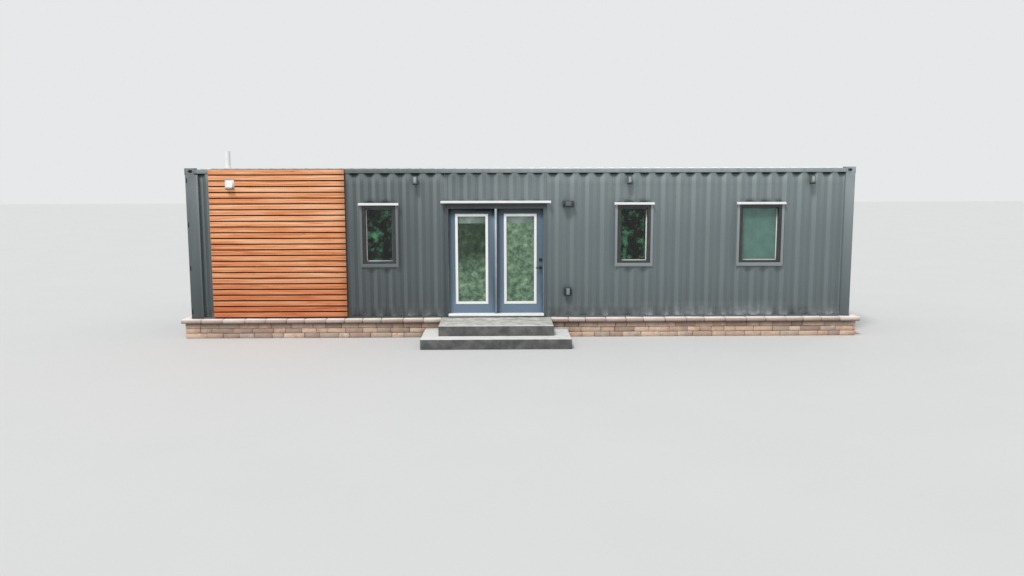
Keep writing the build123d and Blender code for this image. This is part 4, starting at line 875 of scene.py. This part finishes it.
# %% Boards
low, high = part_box("cladding_boards")
board_count = 26
board_pitch = (high.z - low.z + 13 * mm) / board_count
board_wide = board_pitch - 20 * mm
ease = 3 * mm
quarter = np.linspace(0, math.pi / 2, 4)
half_z, half_y = board_wide / 2 - ease, (high.y - low.y) / 2 - ease - 0.8 * mm
centres = np.array([(half_y, half_z), (-half_y, half_z), (-half_y, -half_z), (half_y, -half_z)])
angles = quarter[None, :] + np.arange(4)[:, None] * math.pi / 2
outline = (centres[:, None] + ease * np.stack([np.cos(angles), np.sin(angles)], -1)).reshape(-1, 2)
stations = np.linspace(low.x, high.x, 15)
rng = np.random.default_rng(26)
phase = rng.uniform(0, 2 * math.pi, (board_count, 3))
end_move = rng.uniform(0, 2.5 * mm, (board_count, 2))
share = (stations - low.x) / (high.x - low.x)
length_x = stations[None, :] + end_move[:, :1] * (1 - share) - end_move[:, 1:] * share
bow_z = 1.1 * mm * np.sin(share[None, :] * 5 + phase[:, :1])
bow_y = 0.7 * mm * np.sin(share[None, :] * 7 + phase[:, 1:2])
middle_z = low.z + board_pitch / 2 - 6.5 * mm + np.arange(board_count) * board_pitch
points = placed(length_x[:, :, None], (low.y + high.y) / 2 + outline[:, 0] + bow_y[:, :, None],
                middle_z[:, None, None] + outline[:, 1] + bow_z[:, :, None])
around = len(outline)
per_board = len(stations) * around
side_faces = grid_faces(len(stations), around, around=True)
faces, tones = [], []
for board in range(board_count):
    start = board * per_board
    last = start + per_board - around
    faces += (side_faces + start).tolist()
    faces += [list(range(start, start + around))[::-1], list(range(last, last + around))]
    tones += [rng.uniform(0, 1)] * (len(side_faces) + 2)
points[:, 2] = np.clip(points[:, 2], low.z, high.z)
set_down("cedar_boards", points, faces, "cedar", stands_for=["cladding_boards"], tones=tones)
print("boards", board_count, "faces", len(faces))

# %% [markdown]
# ## Screws, lenses and other small turned pieces
# A screw head, a round lens or a rivet is a profile turned about an axis: the radius is a function
# of how far it stands out, and the ring of points is repeated for every angle and every place. The
# boards are held by two zinc plated screws at each batten, 8 mm across and just proud of the wood;
# each needs only three rings of six points and one cap, so 260 of them stay light.


# %% Turned pieces
def turned(places, outward, rings, sides=8):
    """Discs at the places, (n, 3): rings is (radius, rise) from the foot up; outward is the axis."""
    axis = np.asarray(outward, float)
    side = np.array([0.0, 0.0, 1.0]) if abs(axis[2]) < 0.5 else np.array([1.0, 0.0, 0.0])
    across = np.cross(axis, side)
    angle = np.arange(sides) * 2 * math.pi / sides
    circle = np.cos(angle)[:, None] * side - np.sin(angle)[:, None] * across
    rings = np.asarray(rings, float)
    shape = rings[:, 0][:, None, None] * circle[None] + rings[:, 1][:, None, None] * axis
    places = np.asarray(places, float).reshape(-1, 3)
    points = (places[:, None, None] + shape[None]).reshape(-1, 3)
    each = len(rings) * sides
    skin = grid_faces(len(rings), sides, around=True)[:, ::-1]
    lid = list(range(each - sides, each))
    faces = []
    for first in range(0, len(places) * each, each):
        faces += (skin + first).tolist() + [[i + first for i in lid][::-1]]
    return points, faces


def facing_out(points, faces, outward):
    """Turns the faces round if the last lid looks the wrong way."""
    lid = np.asarray(points)[list(faces[-1])]
    normal = np.cross(lid[1] - lid[0], lid[2] - lid[1])
    return [list(f)[::-1] for f in faces] if normal @ np.asarray(outward, float) < 0 else faces


toward_front = (0.0, -1.0, 0.0)
screw_head = [(4 * mm, 0), (3.6 * mm, 1.0 * mm), (2 * mm, 1.4 * mm)]
batten_low, batten_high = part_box("cladding_battens")
batten_x = np.linspace(batten_low.x + 22.5 * mm, batten_high.x - 22.5 * mm, 5)
screw_x, screw_z = np.meshgrid(batten_x, np.concatenate([middle_z - 25 * mm, middle_z + 25 * mm]))
screw_places = placed(screw_x, low.y + 1.6 * mm, screw_z)
points, faces = turned(screw_places, toward_front, screw_head, 6)
set_down("board_screws", points, facing_out(points, faces, toward_front), "hinge_steel")
print("screws", len(screw_places))

# %% [markdown]
# ## Strips carried along a path
# Seals, beads and mouldings are one small outline pushed along a straight or bent line. The outline
# gives (across, out) in the plane at right angles to the path; the path gives the place, and each
# corner of it is mitred by scaling the outline along the bisector of the two runs.


# %% Strips
def strip(path, outline, outward):
    """Carries a closed outline of (side, out) points along path, (n, 3); outward is the out direction."""
    path, outline, out = np.asarray(path, float), np.asarray(outline, float), np.asarray(outward, float)
    run = np.diff(path, axis=0)
    run /= np.linalg.norm(run, axis=1, keepdims=True)
    side = np.cross(run, out)
    before, after = np.vstack([side[:1], side]), np.vstack([side, side[-1:]])
    mitre = before + after
    mitre /= (mitre * before).sum(1, keepdims=True)
    points = path[:, None] + outline[None, :, :1] * mitre[:, None] + outline[None, :, 1:] * out
    count = len(outline)
    faces = grid_faces(len(path), count, around=True).tolist()
    faces += [list(range(count))[::-1], list(range((len(path) - 1) * count, len(path) * count))]
    return points.reshape(-1, 3), faces


def half_round(width, rise, steps=6):
    """Outline of a low arch: half an ellipse, width across and rise high, on a flat foot."""
    angle = np.linspace(0, math.pi, steps + 1)
    return np.stack([np.cos(angle) * width / 2, np.sin(angle) * rise], -1)


def join(parts):
    """Puts several (points, faces) sets together as one."""
    points, faces, first = [], [], 0
    for some_points, some_faces in parts:
        points.append(np.asarray(some_points))
        faces += [[int(i) + first for i in face] for face in some_faces]
        first += len(some_points)
    return np.concatenate(points), faces


def outside_out(points, faces):
    """Turns closed faces round where their summed volume comes out negative."""
    volume = 0.0
    for face in faces:
        corners = np.asarray(points)[face]
        volume += (np.cross(corners[1:-1], corners[2:]) @ corners[0]).sum()
    return [list(f)[::-1] for f in faces] if volume < 0 else faces


def lay(name, parts, slot, finish_name):
    """Sets down several closed shapes as one piece."""
    points, faces = join([(p, outside_out(p, f)) for p, f in parts])
    return set_down(name, points, faces, slot, finish_name=finish_name)


leaf_low, leaf_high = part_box("door_leaf")
still_low, still_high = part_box("fixed_leaf")
face_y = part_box("door_frame")[0].y
foot_z, head_z = still_low.z + 2 * mm, still_high.z - 14 * mm
post_middle = (still_high.x + leaf_low.x - 5 * mm) / 2


def upright(x, width, rise):
    """A half round strip that stands on the face of the door frame."""
    return strip([(x, face_y, foot_z), (x, face_y, head_z)], half_round(width, rise, 8), toward_front)


jamb_seals = [upright(x, 4 * mm, 3 * mm) for x in (still_low.x + 9 * mm, leaf_high.x - 4 * mm)]
lay("astragal", [upright(post_middle - 2 * mm, 42 * mm, 7 * mm)], "white_plastic", "astragal_vinyl")
lay("astragal_seal", [upright(post_middle + 22.5 * mm, 6 * mm, 5 * mm)], "black_hardware", "gasket_rubber")
lay("jamb_seals", jamb_seals, "white_plastic", "jamb_vinyl")
print("strips on the door frame, middle post at", round(post_middle, 3))

# %% [markdown]
# ## Window beads and blinds
# The sashes are bronze like their frames, and a pale vinyl bead runs only along the foot and up the
# side farther from the entrance: painted light where light falls on the sash, while the top and the
# near side are left bronze as painted shade. Behind the panes hang blinds: 25 mm aluminium slats
# every 21.5 mm, nearly level and dark in the first two windows, shut and pale in the wide one. A
# slat is a shallow arc across a tilted chord, so a whole blind is one array: slat number times place
# on the arc times the two ends.

# %% Beads and blinds
sash_low, sash_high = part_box("window_sashes")
glass_low, glass_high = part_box("window_glass")
beads = []
for centre, width in zip(window_centres, window_widths):
    reach = math.copysign(width / 2 - 69 * mm, centre)
    corner_z = sash_low.z + 11 * mm
    path = [(centre + reach, sash_low.y, sash_high.z - 24 * mm), (centre + reach, sash_low.y, corner_z),
            (centre - reach, sash_low.y, corner_z)]
    # Painted light: the pale bead only along the foot and the far side, where light falls on the sash
    beads.append(strip(path, half_round(21 * mm, 2.5 * mm), toward_front))
lay("glazing_beads", beads, "sash_plastic", "bead_vinyl")


def slats(ends, low_z, high_z, tilt, pitch=21.5 * mm, chord=25 * mm, crown=1.6 * mm, middle_y=-0.5525):
    """Arcs: along the chord s runs from -1 to 1, the height over it is crown times (1 - s squared)."""
    number = np.arange(int((high_z - low_z) / pitch))
    s = np.linspace(-1, 1, 5)
    arc = crown * (1 - s * s)
    y = middle_y + s * chord / 2 * math.cos(tilt) - arc * math.sin(tilt)
    z = s * chord / 2 * math.sin(tilt) + arc * math.cos(tilt)
    slat_z = low_z + pitch / 2 + number[:, None, None] * pitch
    quads = grid_faces(len(s), 2)
    faces = (quads[None] + (number * len(s) * 2)[:, None, None]).reshape(-1, 4)
    return placed(ends, y[:, None], slat_z + z[:, None]), faces


octagon = [(-1, 0.3), (-1, 0.8), (-0.6, 1), (0.6, 1), (1, 0.8), (1, 0.3), (0.7, 0), (-0.7, 0)]
rail_outline = np.array(octagon) * np.array([9 * mm, 21 * mm])
rail_y = -0.5405
rails = []
for number, (centre, width) in enumerate(zip(window_centres, window_widths)):
    ends = np.array([centre - width / 2 + 84 * mm, centre + width / 2 - 84 * mm])
    shut = number == 2
    tilt = math.radians(66 if shut else 14)
    points, faces = slats(ends, glass_low.z + 22 * mm, glass_high.z - 24 * mm, tilt)
    blind = set_down("blind_%d" % (number + 1), points, faces, "white_plastic",
                     finish_name="slat_pale" if shut else "slat_dark")
    thicken(blind, 0.4 * mm, 0.0)
    for level in (glass_low.z + 10 * mm, glass_high.z - 12 * mm):
        rails.append(strip([(x, rail_y, level) for x in ends], rail_outline, toward_front))
    print("blind", number + 1, len(faces) // 4, "slats")
lay("blind_rails", rails, "white_plastic", "bead_vinyl")

# %% [markdown]
# ## Raised blinds in the doors
# The door panes are sealed units with a blind inside, drawn up to the top in both, so a pale ribbed
# band about 130 mm deep shows there: the edges of the stacked slats. It is one sheet whose depth is
# the size of a sine over its height, 3.2 mm for each slat, and the one in the moving leaf turns
# with it.

# %% Raised blinds
slat_step = 3.2 * mm
for leaf, body in (("door_leaf", "entrance_door"), ("fixed_leaf", "cabin")):
    rim_low, rim_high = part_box(leaf + "_lite_frame")
    pane_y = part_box(leaf + "_glass")[0].y
    up = np.linspace(rim_high.z - 179 * mm, rim_high.z - 51 * mm, 161)
    out = 0.6 * mm + 1.3 * mm * np.abs(np.sin(np.pi * (up - up[0]) / slat_step))
    ends = np.array([rim_low.x + 51 * mm, rim_high.x - 51 * mm])
    points = placed(ends, (pane_y - out)[:, None], up[:, None])
    band = set_down(leaf + "_raised_blind", points, grid_faces(len(up), 2), "white_plastic", body,
                    finish_name="slat_stack")
    thicken(band, 0.5 * mm)
    print(leaf, "raised blind of", len(up) - 1, "steps")

# %% [markdown]
# ## Lamps and the outlet cover
# The wall lamp has a ribbed acrylic lens in a dark body, the outlet a clear hinged cover with a
# bulge over the plugs, and each down light a frosted pane in front and a black ring at its foot.
# Lenses, panes and cover are pillows: the rise is the most where both parameters are 0 and falls
# to nothing at the rim with their fourth powers.


# %% Lenses and covers
def pillow(name, middle, width, tall, rise, finish_name, slot, ribs=0):
    """A sheet that bulges to the front: rise times (1 - u^4) times (1 - v^4), with low ribs along Z."""
    u, v = np.meshgrid(np.linspace(-1, 1, 25 if ribs else 13), np.linspace(-1, 1, 13))
    bulge = rise * (1 - u ** 4) * (1 - v ** 4)
    if ribs:
        bulge = bulge * (0.85 + 0.15 * np.cos(u * math.pi * ribs))
    points = placed(middle[0] + u * width / 2, middle[1] - bulge, middle[2] + v * tall / 2)
    thicken(set_down(name, points, grid_faces(*u.shape), slot, finish_name=finish_name), 1.5 * mm)


lamp_low, lamp_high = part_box("wall_light")
box_low, box_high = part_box("outdoor_outlet")
lights_low, lights_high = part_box("down_lights")
lamp_x, box_x = (lamp_low.x + lamp_high.x) / 2, (box_low.x + box_high.x) / 2
pillow("wall_light_lens", (lamp_x, lamp_low.y + 1 * mm, lamp_low.z + 70 * mm),
       104 * mm, 78 * mm, 7 * mm, "lens_acrylic", "grey_plastic", 6)
pillow("outlet_cover", (box_x, box_low.y + 1 * mm, (box_low.z + box_high.z) / 2 + 8 * mm),
       60 * mm, 118 * mm, 10 * mm, "cover_acrylic", "grey_plastic")
middle_lamp = 1.959  # X
lamp_centres = (lights_low.x + 42 * mm, middle_lamp, lights_high.x - 42 * mm)
for number, centre in enumerate(lamp_centres):
    pillow("down_light_lens_%d" % (number + 1), (centre, lights_low.y + 1 * mm, lights_high.z - 66 * mm),
           50 * mm, 98 * mm, 6 * mm, "lamp_glass", "grey_lamp_paint")

# Blocks between the fixtures and the floor of the fold behind them: centre, half width, foot and head
block_places = [(centre, 30 * mm, lights_low.z + 22 * mm, lights_high.z - 18 * mm) for centre in lamp_centres]
block_places += [(lamp_x, 62 * mm, lamp_low.z + 14 * mm, lamp_high.z - 14 * mm),
                 (box_x, 44 * mm, box_low.z + 14 * mm, box_high.z - 14 * mm)]
centre, half, foot, head = np.array(block_places).T
low = placed(centre - half, lights_high.y - 1 * mm, foot)
high = placed(centre + half, crest_y + side_shape[3] + 1 * mm, head)
points, faces, tones = blocks(low, high, 3 * mm, 0.0, np.random.default_rng(29))
set_down("fixture_blocks", points, faces, "grey_plastic", finish_name="grey_lamp_paint", smooth=False)

cut_circle = [(1, -0.68), (1, 0.68), (0.68, 1), (-0.68, 1), (-1, 0.68), (-1, -0.68), (-0.68, -1), (0.68, -1)]
ring_x, ring_y = np.array(cut_circle).T * 42.8 * mm
levels = np.array([lights_low.z + 0.5 * mm, lights_low.z + 24 * mm])
rings = [(placed(centre + ring_x, lights_low.y + 42 * mm + ring_y, levels[:, None]),
          grid_faces(2, 8, around=True).tolist()) for centre in lamp_centres]
points, faces = join(rings)
lamp_rings = set_down("lamp_rings", points, faces, "black_hardware", finish_name="gasket_rubber",
                      smooth=False)
thicken(lamp_rings, 1.5 * mm, 0.0)
print("lenses, cover and", len(rings), "rings")

# %% [markdown]
# ## Fittings of the cargo doors
# The left end keeps its doors. A black rubber gasket runs round each leaf, every rod turns in
# collars at its ends, and each of its guides is held by two rivets. The gasket is a strip along a
# closed rectangle, started in the middle of its foot, so that all four corners are mitred.

# %% Cargo end fittings
doors_low, doors_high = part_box("cargo_doors")
middle_y = (doors_low.y + doors_high.y) / 2
toward_left = (-1.0, 0.0, 0.0)
gaskets = []
for near, far in ((doors_low.y, middle_y - 3 * mm), (middle_y + 3 * mm, doors_high.y)):
    a, b, c, d = near + 12 * mm, far - 12 * mm, doors_low.z + 12 * mm, doors_high.z - 12 * mm
    foot_middle = (a + b) / 2
    corners = ((foot_middle, c), (b, c), (b, d), (a, d), (a, c), (foot_middle, c))
    path = [(doors_low.x, y, z) for y, z in corners]
    gaskets.append(strip(path, half_round(20 * mm, 5 * mm), toward_left))
lay("cargo_gaskets", gaskets, "black_hardware", "gasket_rubber")

rods_low, rods_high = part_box("lock_rods")
rod_x, rod_radius = (rods_low.x + rods_high.x) / 2, (rods_high.x - rods_low.x) / 2
rod_ys = [middle_y + offset for offset in (-0.66, -0.24, 0.24, 0.66)]
collar = [(rod_radius, 0), (24 * mm, 4 * mm), (24 * mm, 26 * mm), (rod_radius, 30 * mm)]
collars = []
for rod_y in rod_ys:
    for level in (rods_low.z + 40 * mm, rods_high.z - 70 * mm):
        points, faces = turned([(rod_x, rod_y, level)], (0, 0, 1), collar, 16)
        collars.append((points, faces + [list(range(16))]))
lay("rod_collars", collars, "rod_steel", "rod_steel")

# The heights of the guides are read from their own points, which lie in rows more than 0.2 m apart
guides = nodes["lock_rod_guides"]
guide_z = np.unique(np.round([(guides.matrix_world @ v.co).z for v in guides.data.vertices], 3))
guide_rows = [row.mean() for row in np.split(guide_z, np.flatnonzero(np.diff(guide_z) > 0.2) + 1)]
rivet_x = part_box("lock_rod_guides")[0].x + 0.5 * mm
rivet_head = [(9 * mm, 0), (7.5 * mm, 3 * mm), (4 * mm, 4.5 * mm)]
rivets = [(rivet_x, rod_y + side, level)
          for rod_y in rod_ys for side in (-32 * mm, 32 * mm) for level in guide_rows]
points, faces = turned(rivets, toward_left, rivet_head)
set_down("guide_rivets", points, facing_out(points, faces, toward_left), "rod_steel")
print("gaskets", len(gaskets), "collars", len(collars), "rivets", len(rivets),
      "guide rows", [round(float(z), 2) for z in guide_rows])

# %% [markdown]
# ## Finishes of the solids that stay
# The solids that are still shown get the finish of their slot in their own material slots; the
# panes of the doors take the door glass.

# %% Finish every solid
for name, node in nodes.items():
    wanted = "door_glass" if name.endswith("leaf_glass") else slot_of[name]
    if not node.material_slots:
        node.data.materials.append(None)
    for material_slot in node.material_slots:
        material_slot.material = finish[wanted]
print("finishes set on", len(nodes), "solids")

# %% [markdown]
# ## Floor and light
# The cabin stands on a plain pale floor under a soft studio light. The world gives even light from
# all round, and a broad lamp high over the front left models the folds and lets the caps and the
# capping stones throw short soft shadows. What the camera, a reflection or a see-through ray sees
# beyond the floor is a plain pale ground of nearly the floor's own tone, whatever the light.

# %% Stage and lamps
material, tree, shader, place = new_finish("studio_floor", 0.9)
fleck = add(tree, "TexNoise", {"Vector": place, "Scale": 0.5, "Detail": 2.0})
fill(shader, {"Base Color": add(tree, "ValToRGB", (fleck,), [(0.3, "#d0d1d1"), (0.7, "#d2d2d2")])})
reach = 90.0
corners = [(-reach, -reach, 0), (reach, -reach, 0), (reach, reach, 0), (-reach, reach, 0)]
floor_mesh = bpy.data.meshes.new("studio_floor")
floor_mesh.from_pydata(corners, [], [(0, 1, 2, 3)])
floor_mesh.materials.append(material)
floor = bpy.data.objects.new("studio_floor", floor_mesh)
scene.collection.objects.link(floor)

world = bpy.data.worlds.new("studio_world")
scene.world = world
world.use_nodes = True
tree = world.node_tree
tree.nodes.clear()
ray = add(tree, "LightPath").outputs
seen = add(tree, "Math", (ray["Is Camera Ray"], ray["Is Glossy Ray"]), operation="MAXIMUM")
seen = add(tree, "Math", (seen, ray["Is Transmission Ray"]), operation="MAXIMUM")
world_level = 0.60
lit = add(tree, "Background", {"Color": "#f6f9fc", "Strength": world_level})
shown = add(tree, "Background", {"Color": "#e6e8e9", "Strength": 1.0})
add(tree, "OutputWorld", {"Surface": add(tree, "MixShader", (seen, lit, shown))})

sun = bpy.data.lights.new("broad_lamp", "SUN")
sun.energy = 2.1
sun.angle = math.radians(14)
sun.color = linear("#fffefb")[:3]
lamp = bpy.data.objects.new("broad_lamp", sun)
lamp.rotation_mode = "QUATERNION"
toward_lamp = Vector((-0.3, -0.52, 1.0))
lamp.rotation_quaternion = toward_lamp.to_track_quat("Z", "Y")
scene.collection.objects.link(lamp)
print("lamp", sun.energy, "world", world_level)
